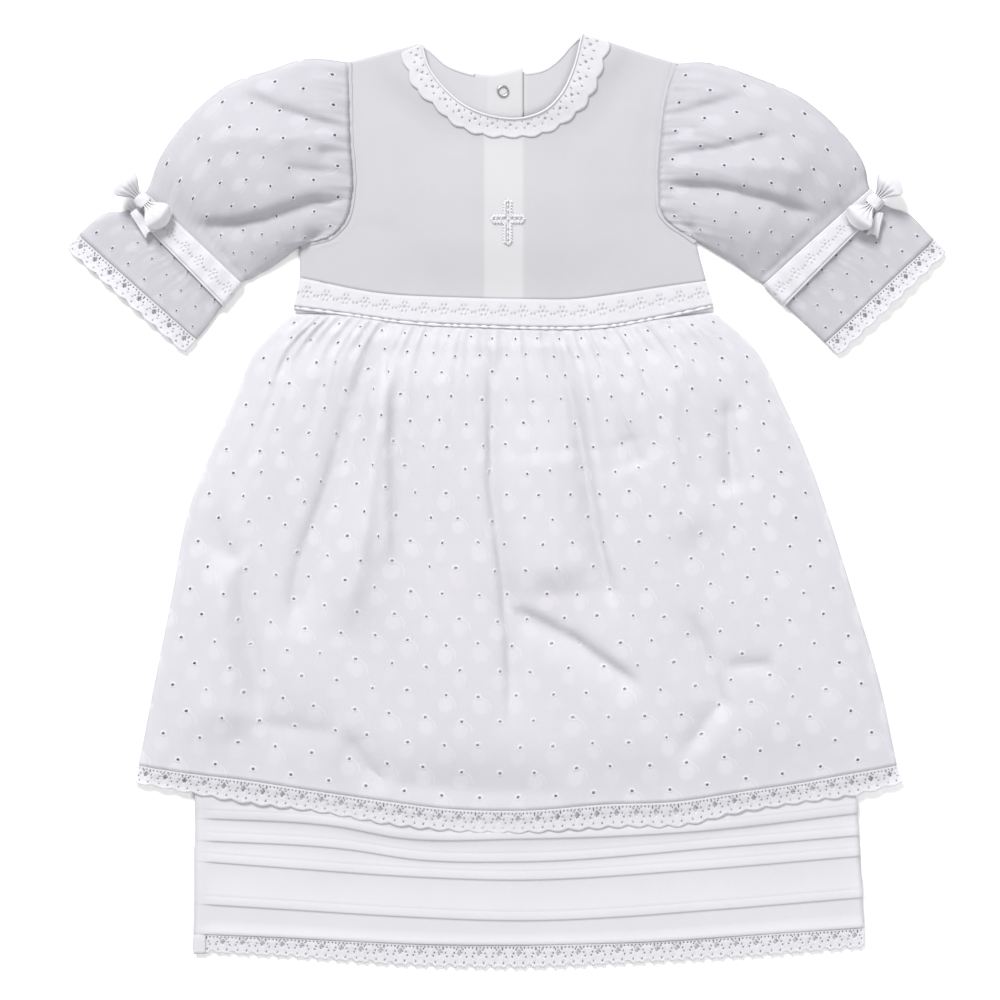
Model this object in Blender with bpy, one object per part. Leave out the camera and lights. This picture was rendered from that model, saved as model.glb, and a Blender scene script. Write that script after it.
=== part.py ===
"""A christening gown that lies flat on its back: z = 0 is the surface it rests on,
+Y is towards the neck, and the front faces up. Tables are in millimetres and the
meshes in metres. Left and right are the viewer's, looking down on the front."""

import math

import bpy
import numpy as np

MM = 0.001
T = 1.0                  # cloth wall
GAP = 0.3                # between two pieces that are sewn together
LEVEL = T + GAP          # one layer of cloth, with the gap above it
REPEAT = 12.5            # one scallop of the lace
SCALLOP = 1.6            # how far the lace's edge dips between two scallops
BINDING = 3.0            # neck binding, seen width
RIBBON = 2.4             # ribbon along the waist band's lower edge
TUCK = 0.5               # how far a tuck stands up
LAP_EDGE = -12.0         # x of the right back half's edge, under the left one's band
LAP_START, LAP_END = -18.0, 11.3     # the left back half's band

COTTON = (0.86, 0.86, 0.89)
EYELET = (0.88, 0.88, 0.91)
LACE = (0.80, 0.80, 0.84)
SATIN = (0.93, 0.93, 0.96)
METAL = (0.55, 0.55, 0.58)
SHARP = 40               # degrees between two faces from which their edge stays sharp

# ---------------------------------------------------------------- outlines (x, y)
NECK_FRONT = ((-52, 287), (-47, 271), (-37, 258), (-25, 248), (-6, 241), (12, 240.5),
              (26, 246), (36, 257), (42, 270), (48, 293))
NECK_BACK = ((-52, 287), (-45, 282), (-37, 275), (-23, 269.5), (-12, 267.5), (10, 269),
             (25, 272), (34, 279), (40, 286), (48, 293))
LACE_OUTER = ((-67, 280), (-63, 272), (-58, 259), (-45, 247), (-33, 236), (-16, 229),
              (3, 227.5), (24, 229.5), (40, 238), (52, 249), (59, 262), (63, 275), (68, 288.5))
LACE_OUTER_BACK = ((-67, 280), (-57, 270), (-44, 261), (-25, 254), (-12, 252), (10, 253),
                   (28, 257), (45, 267), (57, 278), (68, 288.5))
SHOULDER_LEFT, SHOULDER_RIGHT = (-98, 275.5), (107, 275)
ARMHOLE_LEFT = ((-98, 275.5), (-97, 230), (-96, 190), (-99, 177), (-107, 167), (-129, 160))
ARMHOLE_RIGHT = ((107, 275), (101, 254), (97.5, 228), (96, 200), (98, 180), (120, 162))
WAIST_TOP = ((-129, 139.5), (-81, 130), (-31, 127), (11, 126), (43, 126), (76, 130),
             (98, 133.5), (126.5, 137.5))
WAIST_BOTTOM = ((-133, 120), (-105, 116.5), (-60, 110.5), (-13, 108), (25, 107), (62, 108),
                (98, 114), (131, 121))
SKIRT_LEFT = ((-134, 117), (-157, 94), (-170, 63), (-187, 25), (-197, 0), (-210, -63),
              (-220, -113), (-230.5, -167))
SKIRT_RIGHT = ((132, 118), (158, 94), (174, 63), (191, 25), (200, 0), (220, -63),
               (235, -113), (246.5, -167))
HEM = ((-230.5, -167), (-196, -172), (-162, -176), (-120, -182.5), (-82, -188), (-33, -194),
       (10, -195), (64, -191), (105, -189.5), (149, -183), (183, -178), (216, -172), (246.5, -167))
HEM_LACE = ((-234, -178), (-196, -185), (-162, -191), (-120, -196), (-82, -203), (-33, -208.5),
            (0, -210), (39, -208), (73, -206), (114, -205), (141, -198), (183, -191), (225, -185),
            (250.5, -178))
UNDER_LEFT = ((-124, 99), (-150, 60), (-174, 0), (-188, -63), (-194, -130), (-195, -199),
              (-196, -273))
UNDER_RIGHT = ((122, 100), (151, 60), (177, 0), (199, -63), (214, -130), (222, -197),
               (226, -269))
UNDER_TOP = ((-124, 99), (-60, 93), (0, 90), (62, 93), (122, 100))
UNDER_HEM = ((-196, -273), (-146, -275), (-50, -279.5), (10, -280), (88, -278), (166, -273),
             (226, -269))
UNDER_LACE = ((-196.5, -284), (-146, -286.5), (-50, -293), (10, -294), (81, -291), (166, -286),
              (226.5, -281))
TUCKS = (  # each tuck's folded edge, from the upper one down
    ((-195, -200), (-101, -206), (-70, -212), (10, -213), (124, -208), (222, -197)),
    ((-195, -214), (-98, -220), (-58, -226), (10, -227.5), (141, -218), (222.5, -211)),
    ((-195.5, -227), (-130, -232), (-58, -237), (10, -239), (115, -233), (223, -224)),
    ((-195.5, -254), (-130, -258), (-65, -262), (10, -264.5), (141, -257), (225, -250)),
)

# Sleeve contours: along is 0 at the armhole and 1 at the hem.
SLEEVE = {  # along: left upper, left lower, right upper, right lower
    0.00: ((-99.5, 275), (-130, 159), (108, 274.5), (121.5, 161)),
    0.10: ((-121, 278), (-134, 156), (126, 275.5), (128, 158)),
    0.25: ((-150, 270), (-141, 150.5), (158, 266), (137, 152.5)),
    0.40: ((-178, 259), (-149, 145), (190, 251), (146, 147)),
    0.52: ((-203, 236), (-155, 142), (215, 228), (153, 142)),
    0.60: ((-218, 214), (-160, 139), (226, 211), (158, 138.5)),
    0.66: ((-224.5, 196), (-164.5, 137.5), (228.5, 197.5), (162, 137)),
    0.78: ((-238, 182), (-179, 120.5), (240, 185), (178, 121)),
    0.88: ((-251, 181), (-186.5, 110), (254, 180), (189, 111)),
    1.00: ((-268.5, 167), (-194, 101), (270, 164), (201.5, 99)),
}
BAND = (0.672, 0.768)    # the band's two edges, along the sleeve
PUFF = ((0.0, 1.0), (0.1, 9), (0.3, 17), (0.45, 16), (0.6, 7), (0.66, 2.0), (0.78, 2.0),
        (0.88, 2.6), (1.0, 2.8))     # along, how far the upper wall stands up
CUFF_LACE = 12.0         # from the sleeve's hem to the tips of its lace

FOLDS = (  # height (below 0 is a valley), half width, path
    (-2.6, 9, ((-81, 98), (-93, 66), (-109, 9), (-125, -38), (-137, -87))),
    (2.2, 13, ((-77, 74), (-85, -6), (-101, -87))),
    (-2.2, 8, ((-9, 90), (-9, 9), (-3, -38), (3, -87), (3, -147))),
    (-2.2, 8, ((35, 90), (47, 42), (59, -26), (72, -79))),
    (2.6, 22, ((28, 30), (32, -28), (34, -60))),
    (-1.8, 8, ((11, -71), (43, -87), (88, -119))),
    (2.0, 11, ((101, 74), (108, 9), (124, -30))),
    (-1.8, 9, ((140, 58), (144, 2))),
    (-1.6, 9, ((120, -79), (136, -127), (108, -167))),
    (-1.6, 9, ((-193, -14), (-166, -42), (-157, -107), (-154, -139))),
    (-1.4, 10, ((-97, -151), (-73, -181), (43, -184))),
    (1.6, 11, ((-178, -47), (-169, -151))),
)


# ---------------------------------------------------------------- curves
def smooth_path(points, where):
    """The points' path at fractions of its length: straight chords rounded by a
    cubic that has, at each point, the mean slope of its two chords."""
    points = np.asarray(points, float)
    chords = np.linalg.norm(np.diff(points, axis=0), axis=1)
    knots = np.concatenate(([0.0], np.cumsum(chords))) / chords.sum()
    slopes = np.gradient(points, knots, axis=0)
    where = np.clip(np.asarray(where, float), 0, 1)
    i = np.clip(np.searchsorted(knots, where, side="right") - 1, 0, len(knots) - 2)
    step = (knots[i + 1] - knots[i])[..., None]
    f = (where[..., None] - knots[i][..., None]) / step
    return ((2 * f**3 - 3 * f**2 + 1) * points[i] + (f**3 - 2 * f**2 + f) * step * slopes[i]
            + (3 * f**2 - 2 * f**3) * points[i + 1] + (f**3 - f**2) * step * slopes[i + 1])


def offset(points, distance):
    """The path moved sideways, to the right of its own direction."""
    points = np.asarray(points, float)
    along = np.gradient(points, axis=0)
    along /= np.linalg.norm(along, axis=1)[:, None]
    return points + distance * np.column_stack((along[:, 1], -along[:, 0]))


def away(x, y, path):
    """The distance from each place to the nearest point of the path."""
    spot = np.stack(np.broadcast_arrays(x, y), axis=-1).astype(float)
    nearest = np.full(spot.shape[:-1], np.inf)
    for a, b in zip(np.asarray(path[:-1], float), np.asarray(path[1:], float)):
        f = np.clip((spot - a) @ (b - a) / ((b - a) @ (b - a)), 0, 1)
        nearest = np.minimum(nearest, np.linalg.norm(spot - a - f[..., None] * (b - a), axis=-1))
    return nearest


def ramp(value, start, end):
    """0 before start and 1 after end, with a smooth rise between."""
    f = np.clip((value - start) / (end - start), 0, 1)
    return f * f * (3 - 2 * f)


def patch(top, bottom, left, right, across, down, corners_on_rows=False):
    """(x, y) of a sheet between four edges: each point is the mean of what its two
    pairs of opposite edges give, less the straight patch of the four corners. With
    corners_on_rows, left and right are given row by row, not as paths."""
    u, v = np.meshgrid(across, down)
    u, v = u[..., None], v[..., None]
    top, bottom = smooth_path(top, across)[None], smooth_path(bottom, across)[None]
    if corners_on_rows:
        left, right = np.asarray(left)[:, None], np.asarray(right)[:, None]
    else:
        left, right = smooth_path(left, down)[:, None], smooth_path(right, down)[:, None]
    corners = ((1 - v) * ((1 - u) * top[:, :1] + u * top[:, -1:])
               + v * ((1 - u) * bottom[:, :1] + u * bottom[:, -1:]))
    sheet = (1 - v) * top + v * bottom + (1 - u) * left + u * right - corners
    return sheet[..., 0], sheet[..., 1]


# ---------------------------------------------------------------- solids
def node(name, points, faces, colour):
    """An object of its own, with its mesh brought to metres and its own material."""
    mesh = bpy.data.meshes.new(name)
    mesh.from_pydata((np.asarray(points) * MM).tolist(), [], faces)
    mesh.update()
    body = bpy.data.objects.new(name, mesh)
    bpy.context.collection.objects.link(body)
    mesh.shade_smooth()
    mesh.set_sharp_from_angle(angle=math.radians(SHARP))
    material = bpy.data.materials.new(name)
    material.use_nodes = True
    shader = material.node_tree.nodes["Principled BSDF"]
    shader.inputs["Base Color"].default_value = (*colour, 1.0)
    shader.inputs["Roughness"].default_value = 0.35 if colour in (SATIN, METAL) else 0.8
    shader.inputs["Metallic"].default_value = 1.0 if colour == METAL else 0.0
    mesh.materials.append(material)
    return body


def wall(name, x, y, low, colour, thick=T):
    """A closed wall: the grid at height low, the same grid thick above it, and its edges."""
    rows, columns = x.shape
    low = np.broadcast_to(low, x.shape)
    turn = (x[0, -1] - x[0, 0]) * (y[-1, 0] - y[0, 0]) - (y[0, -1] - y[0, 0]) * (x[-1, 0] - x[0, 0])
    if turn < 0:
        x, y, low = x[::-1], y[::-1], low[::-1]
        thick = thick[::-1] if np.ndim(thick) else thick
    under = np.stack((x, y, low), axis=-1).reshape(-1, 3)
    over = np.stack((x, y, low + thick), axis=-1).reshape(-1, 3)
    n = rows * columns
    faces = []
    for i in range(rows - 1):
        for j in range(columns - 1):
            a = i * columns + j
            faces.append((n + a, n + a + 1, n + a + columns + 1, n + a + columns))
            faces.append((a, a + columns, a + columns + 1, a + 1))
    rim = [j for j in range(columns)]
    rim += [i * columns + columns - 1 for i in range(1, rows)]
    rim += [(rows - 1) * columns + j for j in range(columns - 2, -1, -1)]
    rim += [i * columns for i in range(rows - 2, 0, -1)]
    for a, b in zip(rim, rim[1:] + rim[:1]):
        faces.append((a, b, n + b, n + a))
    return node(name, np.concatenate((under, over)), faces, colour)


def tube(name, place, stations, grow, floor, roof, colour, halves=10, trim=None):
    """A closed flattened tube, open at both ends. place(s, t) gives (x, y), with t from
    0 to 1 across; floor and roof give the outer walls' heights. The inner wall is T
    inside the outer one. grow widens the outer ring at each edge. trim(s, t) moves a
    place along the tube, for a scalloped end."""
    rings = []
    for s in stations:
        across = np.linspace(0, 1, halves + 1)
        a, b = np.array(place(s, 0.0)), np.array(place(s, 1.0))
        width = np.linalg.norm(b - a)
        for inset in (-grow, T - grow):
            t = inset / width + across * (1 - 2 * inset / width)
            own = s if trim is None else trim(s, across)
            xy = np.stack(place(own, t), axis=-1)
            inner = inset > -grow
            z_low = floor(own, t) + (T if inner else 0)
            z_high = roof(own, t) - (T if inner else 0)
            low = np.column_stack((xy, np.broadcast_to(z_low, across.shape)))
            high = np.column_stack((xy, np.broadcast_to(z_high, across.shape)))
            rings.append(np.concatenate((low, high[::-1])))
    count = len(rings[0])
    faces = []
    for s in range(len(stations) - 1):
        for k in range(count):
            m = (k + 1) % count
            o, p = 2 * s * count, 2 * (s + 1) * count
            faces.append((o + k, o + m, p + m, p + k))
            o, p = o + count, p + count
            faces.append((o + k, p + k, p + m, o + m))
    last = 2 * (len(stations) - 1) * count
    for k in range(count):
        m = (k + 1) % count
        faces.append((k, count + k, count + m, m))
        faces.append((last + k, last + m, last + count + m, last + count + k))
    points = np.concatenate(rings)
    corners = points[np.array([f[:3] for f in faces])]
    if np.linalg.det(corners).sum() < 0:
        faces = [f[::-1] for f in faces]
    return node(name, points, faces, colour)


def strip(name, inner, outer, low, columns, colour, scallops=False, thick=T, rows=1):
    """A wall between two edges. With scallops, the outer edge has two columns a repeat
    and every other one is drawn in."""
    if scallops:
        columns = 2 * max(2, round(columns / REPEAT))
    where = np.linspace(0, 1, columns + 1)
    a, b = smooth_path(inner, where), smooth_path(outer, where)
    if scallops:
        inwards = (a - b) / np.linalg.norm(a - b, axis=1)[:, None]
        b = b + inwards * (SCALLOP * (np.arange(columns + 1) % 2 == 0))[:, None]
    f = np.linspace(0, 1, rows + 1)[:, None, None]
    sheet = (1 - f) * a[None] + f * b[None]
    x, y = sheet[..., 0], sheet[..., 1]
    return wall(name, x, y, low(x, y), colour, thick)


def length(path):
    """How long a path is."""
    return np.linalg.norm(np.diff(np.asarray(path, float), axis=0), axis=1).sum()


# ---------------------------------------------------------------- heights
def neck_rise(x, y):
    """The back halves lie on the back neck lace, one level up, and come down below it."""
    return (LEVEL + 0.1) * (1 - ramp(away(x, y, NECK_BACK), 21, 36))


def placket_rise(x):
    """Two layers of button band lie under the front's middle."""
    return LEVEL * (ramp(x, -44, -18) - ramp(x, 16, 44))


def bodice_low(x, y):
    """Underside of the bodice front: over the back, the neck lace and the bands, with
    a slight swell in the chest."""
    swell = 2.2 * ramp(y, 130, 165) * (1 - ramp(y, 185, 235)) * (1 - ramp(np.abs(x), 40, 96))
    clear = 1.2 * (1 - ramp(away(x, y, NECK_BACK), 25, 45))
    return LEVEL + neck_rise(x, y) + placket_rise(x) + swell + clear


def skirt_low(x, y):
    """Underside of the overskirt front: it rises over the underskirt within a short
    way of the waist and of its two side seams, and carries the gathers and folds."""
    side = np.minimum(away(x, y, SKIRT_LEFT), away(x, y, SKIRT_RIGHT))
    waist = away(x, y, WAIST_BOTTOM)
    over = ramp(side, 0, 13) * ramp(waist, 2, 12)
    relief = 3.0 * ramp(side, 4, 40) * ramp(waist, 4, 40)
    for height, half, path in FOLDS:
        relief = relief + height * np.exp(-(away(x, y, path) / half) ** 2) * ramp(side, 4, 30)
    return LEVEL + 2 * LEVEL * over + np.maximum(relief, 0.1)


def under_low(x, y, layer):
    """Underside of an underskirt layer: on the overskirt back, then down past its lace."""
    hem = np.interp(x, [p[0] for p in HEM_LACE], [p[1] for p in HEM_LACE])
    return LEVEL * ramp(y - hem, -14, -2) + (LEVEL + 0.1) * layer


# ---------------------------------------------------------------- bodice and neck
def sampled(path, count=40):
    """Evenly spaced points on the smooth path."""
    return smooth_path(path, np.linspace(0, 1, count))


def bodice():
    """The front, the two back halves, and the lace and binding round the neck."""
    rows = np.linspace(0, 1, 11)
    cloth = sampled(NECK_FRONT)
    edge = offset(cloth, BINDING)
    seam_left = np.linspace(SHOULDER_LEFT, cloth[0], 12)[:-1]
    seam_right = np.linspace(cloth[-1], SHOULDER_RIGHT, 12)[1:]
    top = np.concatenate((seam_left, cloth, seam_right))
    corners = np.array((length(top[:12]), length(top[:52]))) / length(top)
    across = np.concatenate((np.linspace(0, corners[0], 3)[:-1], np.linspace(*corners, 9),
                             np.linspace(corners[1], 1, 3)[1:]))
    waist = np.asarray(WAIST_TOP, float) + (0, 1.5 * GAP)
    left = np.concatenate((smooth_path(ARMHOLE_LEFT, rows), waist[:1]))
    right = np.concatenate((smooth_path(ARMHOLE_RIGHT, rows), waist[-1:]))
    down = np.append(rows * 0.85, 1.0)
    x, y = patch(top, waist, left, right, across, down, True)
    wall("bodice_front", x, y, bodice_low(x, y), COTTON)
    strip("neck_lace_front", cloth, LACE_OUTER, lambda a, b: bodice_low(a, b) + LEVEL + 0.9,
          length(LACE_OUTER), LACE, scallops=True)
    strip("neck_binding_front", cloth, edge, lambda a, b: bodice_low(a, b) + 2 * LEVEL + 1.0, 22,
          SATIN)

    cloth = sampled(NECK_BACK)
    edge = offset(cloth, BINDING)
    main_left = between(cloth, -99, LAP_START), between(waist, -130, LAP_START)
    lap_left = between(cloth, LAP_START + 5, LAP_END), between(waist, LAP_START + 5, LAP_END)
    main_right = between(cloth, LAP_EDGE, 120), between(waist, LAP_EDGE, 130)
    seam_left = np.linspace(SHOULDER_LEFT, cloth[0], 12)[:-1]
    seam_right = np.linspace(cloth[-1], SHOULDER_RIGHT, 12)[1:]
    x, y = patch(np.concatenate((seam_left, main_left[0])), main_left[1], left,
                 straight(main_left, -1, down), np.linspace(0, 1, 6), down, True)
    lap = patch(lap_left[0], lap_left[1], straight(lap_left, 0, down),
                straight(lap_left, -1, down), np.linspace(0, 1, 3), down, True)
    x, y = np.concatenate((x, lap[0]), axis=1), np.concatenate((y, lap[1]), axis=1)
    wall("bodice_back_left", x, y, neck_rise(x, y) + lap_rise(x), COTTON)
    x, y = patch(np.concatenate((main_right[0], seam_right)), main_right[1],
                 straight(main_right, 0, down), right, np.linspace(0, 1, 8), down, True)
    wall("bodice_back_right", x, y, neck_rise(x, y), COTTON)
    for side, start, end in (("left", -99, LAP_START - 1), ("right", LAP_END + 1, 99)):
        strip(f"neck_binding_back_{side}", between(cloth, start, end), between(edge, start, end),
              lambda a, b: neck_rise(a, b) + LEVEL, 8, SATIN)
    for side, start, end in (("left", -99, LAP_EDGE - 1), ("right", 5.0, 99)):
        own = between(LACE_OUTER_BACK, start, end)
        strip(f"neck_lace_back_{side}", between(cloth, start, end), own, lambda a, b: 0.0 * a,
              length(own), LACE, scallops=True)


def straight(edges, end, down):
    """Points down the straight line that joins one end of two edges."""
    a, b = np.asarray(edges[0][end], float), np.asarray(edges[1][end], float)
    return a + (b - a) * np.asarray(down)[:, None]


def lap_rise(x):
    """The left half's button band lies on the right half's."""
    return LEVEL * ramp(x, LAP_START, LAP_START + 5)


def between(points, start, end):
    """The part of a path, which runs towards +X, from x = start to x = end."""
    points = np.asarray(points, float)
    inside = points[(points[:, 0] > start + 0.5) & (points[:, 0] < end - 0.5)]
    ends = [[x, np.interp(x, points[:, 0], points[:, 1])] for x in (start, end)]
    parts = [inside]
    if start > points[0, 0]:
        parts.insert(0, [ends[0]])
    if end < points[-1, 0]:
        parts.append([ends[1]])
    return np.concatenate(parts)


def ring(name, centre, low, outer=3.8, inner=1.9, thick=0.8, sides=16):
    """A flat metal ring with a square section."""
    turn = np.linspace(0, 2 * math.pi, sides, endpoint=False)
    circle = np.column_stack((np.cos(turn), np.sin(turn)))
    points = []
    for radius, z in ((outer, low), (outer, low + thick), (inner, low + thick), (inner, low)):
        points.append(np.column_stack((np.array(centre) + radius * circle, np.full(sides, z))))
    faces = [(k * sides + i, k * sides + j, (k + 1) % 4 * sides + j, (k + 1) % 4 * sides + i)
             for k in range(4) for i, j in zip(range(sides), [*range(1, sides), 0])]
    node(name, np.concatenate(points), faces, METAL)


def small_parts():
    """The snap's two open rings, and the cross on the bodice front."""
    snap = (-1.3, 257.0)
    ring("snap_ring_inside", snap, 3 * LEVEL)
    ring("snap_ring_outside", snap, 0.1)
    outline = [(-3.1, -14), (3.1, -14), (3.1, -2.8), (11, -2.8), (11, 2.8), (3.1, 2.8),
               (3.1, 14), (-3.1, 14), (-3.1, 2.8), (-11, 2.8), (-11, -2.8), (-3.1, -2.8)]
    flat = np.array(outline, float) + (1.6, 176.4)
    low = float(bodice_low(flat[:, 0], flat[:, 1]).max()) + LEVEL
    points = [(x, y, low) for x, y in flat] + [(x, y, low + 0.8) for x, y in flat]
    count = len(outline)
    faces = [tuple(range(count, 2 * count)), tuple(range(count - 1, -1, -1))]
    faces += [(i, (i + 1) % count, (i + 1) % count + count, i + count) for i in range(count)]
    node("cross", points, faces, LACE)


# ---------------------------------------------------------------- waist and skirts
def waist():
    """The lace band and, along its lower edge, the ribbon, front and back."""
    line = np.asarray(WAIST_BOTTOM, float)
    rib = line + (0, RIBBON + GAP)
    edge = line + (0, RIBBON)
    layers = (("front", bodice_low, 1.3, 1.6), ("back", lambda a, b: 0.0 * a, T, T))
    for side, low, band, ribbon in layers:
        strip(f"waist_band_{side}", WAIST_TOP, rib, low, 14, LACE, thick=band)
        strip(f"waist_ribbon_{side}", edge, line + (0, GAP), low, 14, SATIN, thick=ribbon)


def gathers(across, down, deep, count):
    """Small pleats that stand from the waist and die away down the skirt."""
    fade = np.exp(-down[:, None] / 0.16) * np.minimum(1, np.minimum(across, 1 - across) * 12)
    return deep * fade * (0.5 - 0.5 * np.cos(2 * math.pi * count * across))[None]


def skirts():
    """The gathered overskirt, front and back, with its hem lace."""
    top = np.asarray(WAIST_BOTTOM, float) - (0, GAP)
    top[0], top[-1] = SKIRT_LEFT[0], SKIRT_RIGHT[0]
    pleats = 16
    across = np.unique(np.concatenate((np.linspace(0, 1, 2 * pleats + 1), (0.012, 0.988))))
    down = np.array([0, 0.025, 0.06, 0.12, 0.2, 0.3, 0.41, 0.52, 0.64, 0.77, 0.9, 1])
    x, y = patch(top, HEM, SKIRT_LEFT, SKIRT_RIGHT, across, down)
    low = skirt_low(x, y) + gathers(across, down, 3.0, pleats)
    wall("overskirt_front", x, y, low, EYELET)
    across = np.linspace(0, 1, 21)
    down = np.array([0, 0.06, 0.2, 0.41, 0.64, 1])
    x, y = patch(top, HEM, SKIRT_LEFT, SKIRT_RIGHT, across, down)
    wall("overskirt_back", x, y, 0.0 * x, EYELET)
    drop = np.asarray(HEM, float) - (0, GAP)
    strip("overskirt_lace_front", drop, HEM_LACE, skirt_low, length(HEM_LACE), LACE, scallops=True)
    strip("overskirt_lace_back", drop, HEM_LACE, lambda a, b: 0.0 * a, 20, LACE)
    underskirt()


def underskirt():
    """Rows of the front follow the tucks: each tuck hangs over the next cloth down, a
    small step up at its fold; then the hem. The back has no tucks to lie on."""
    across = np.linspace(0, 1, 10)
    hem = smooth_path(UNDER_HEM, across)
    head = smooth_path(UNDER_TOP, across)
    folds = [smooth_path(t, across) for t in TUCKS]
    body = [head, 0.6 * head + 0.4 * folds[0]]
    body[1][:, 0] = smooth_path(((-168, 10), (0, 6), (172, 10)), across)[:, 0]
    rows, lift = list(body), [0.0, 0.0]
    for fold in folds:
        rows += [fold + (0, 9), fold + (0, 0.6), fold]
        lift += [0.0, TUCK, 0.0]
    rows.append(hem)
    lift.append(0.0)
    sheet = np.array(rows)
    x, y = sheet[..., 0], sheet[..., 1]
    up = np.array(lift)[:, None]
    wall("underskirt_front", x, y, under_low(x, y, 1), COTTON, T + np.broadcast_to(up, x.shape))
    past = np.column_stack((hem[:, 0], np.interp(hem[:, 0], *np.array(HEM_LACE).T)))
    rows = [head, body[1], past + (0, -2), past + (0, -14), hem]
    sheet = np.array(rows)
    x, y = sheet[..., 0], sheet[..., 1]
    wall("underskirt_back", x, y, under_low(x, y, 0), COTTON)
    drop = np.asarray(UNDER_HEM, float) - (0, GAP)
    for name, layer in (("front", 1), ("back", 0)):
        strip(f"underskirt_lace_{name}", drop, UNDER_LACE, lambda a, b, k=layer: LEVEL * k + 0 * a,
              length(UNDER_LACE), LACE, scallops=True)


# ---------------------------------------------------------------- sleeves
def sleeve(side):
    """A sleeve's tube with its band and its cuff lace."""
    pair = (0, 1) if side == "left" else (2, 3)
    knots = np.array(list(SLEEVE))
    upper = np.array([SLEEVE[k][pair[0]] for k in SLEEVE], float)
    lower = np.array([SLEEVE[k][pair[1]] for k in SLEEVE], float)
    arm = np.asarray(ARMHOLE_LEFT if side == "left" else ARMHOLE_RIGHT, float)
    arm = offset(sampled(arm), 0.8 if side == "left" else -0.8)
    upper[0], lower[0] = arm[0], arm[-1]
    sweep = (lower[-1] - upper[-1]) / np.linalg.norm(lower[-1] - upper[-1])
    hem_out = np.array((-sweep[1], sweep[0]))
    if hem_out[1] > 0:
        hem_out = -hem_out

    def place(s, t):
        """A straight line between the two contours, bowed to the armhole at its start
        and less so further along; past the hem it runs on straight."""
        s, t = np.broadcast_arrays(np.asarray(s, float), np.asarray(t, float))
        held = np.clip(s, 0, 1)
        a = np.stack([np.interp(held, knots, upper[:, k]) for k in (0, 1)], axis=-1)
        b = np.stack([np.interp(held, knots, lower[:, k]) for k in (0, 1)], axis=-1)
        chord = arm[0] + (arm[-1] - arm[0]) * t[..., None]
        bow = smooth_path(arm, np.clip(t, 0, 1)) - chord
        xy = a + (b - a) * t[..., None] + bow * ((1 - held) ** 3)[..., None]
        xy = xy + hem_out * (np.maximum(s - 1, 0) * 100)[..., None]
        return xy[..., 0], xy[..., 1]

    def floor(s, t):
        lift = ramp(s, BAND[0] - 0.03, BAND[0] - 0.012) * (1 - ramp(s, BAND[1] + 0.012, BAND[1] + 0.03))
        return LEVEL * lift + 0 * t

    def roof(s, t):
        inside = np.clip(t, 0, 1)
        puff = np.interp(s, *np.array(PUFF).T) * np.sin(math.pi * inside) ** 0.75
        neck = ramp(1 - s, 0.80, 1.0) + 0.8 * ramp(s, 0.45, 0.66) * (1 - ramp(s, 0.9, 1.05))
        pleats = 1.6 * neck * (0.5 - 0.5 * np.cos(10 * math.pi * inside)) * np.sin(math.pi * inside)
        return floor(s, t) + 2 * T + 2 * GAP + puff + pleats

    stations = (0, 0.05, 0.14, 0.27, 0.41, 0.55, BAND[0] - 0.012, BAND[1] + 0.012, 0.84, 1.0)
    tube(f"sleeve_{side}", place, stations, 0.0, floor, roof, EYELET)
    tube(f"sleeve_band_{side}", place, BAND, T + GAP, lambda s, t: 0 * t,
         lambda s, t: roof(s, t) + T + GAP, LACE)
    repeats = 8
    start, end = 1 + GAP / 100 + 0.003, 1 + CUFF_LACE / 100

    def trim(s, t):
        dip = 0.01 * SCALLOP * (np.arange(len(t)) % 2 == 0)
        return s - dip if s > 1.05 else s + 0 * t

    tube(f"cuff_lace_{side}", place, (start, end), 0.0, lambda s, t: 0 * t,
         lambda s, t: np.maximum(roof(1.0, t) - 15 * (s - 1), 2 * LEVEL), LACE, halves=2 * repeats, trim=trim)
    return place, roof


BOWS = {  # knot, direction of the free loop, how far the loops reach, tail's start and end
    "left": ((-227, 187.5), (-0.71, 0.70), 22, ((-233, 181), (-222, 166))),
    "right": ((231, 187), (0.68, 0.73), 21, ((235, 180.5), (230, 165))),
}


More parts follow.
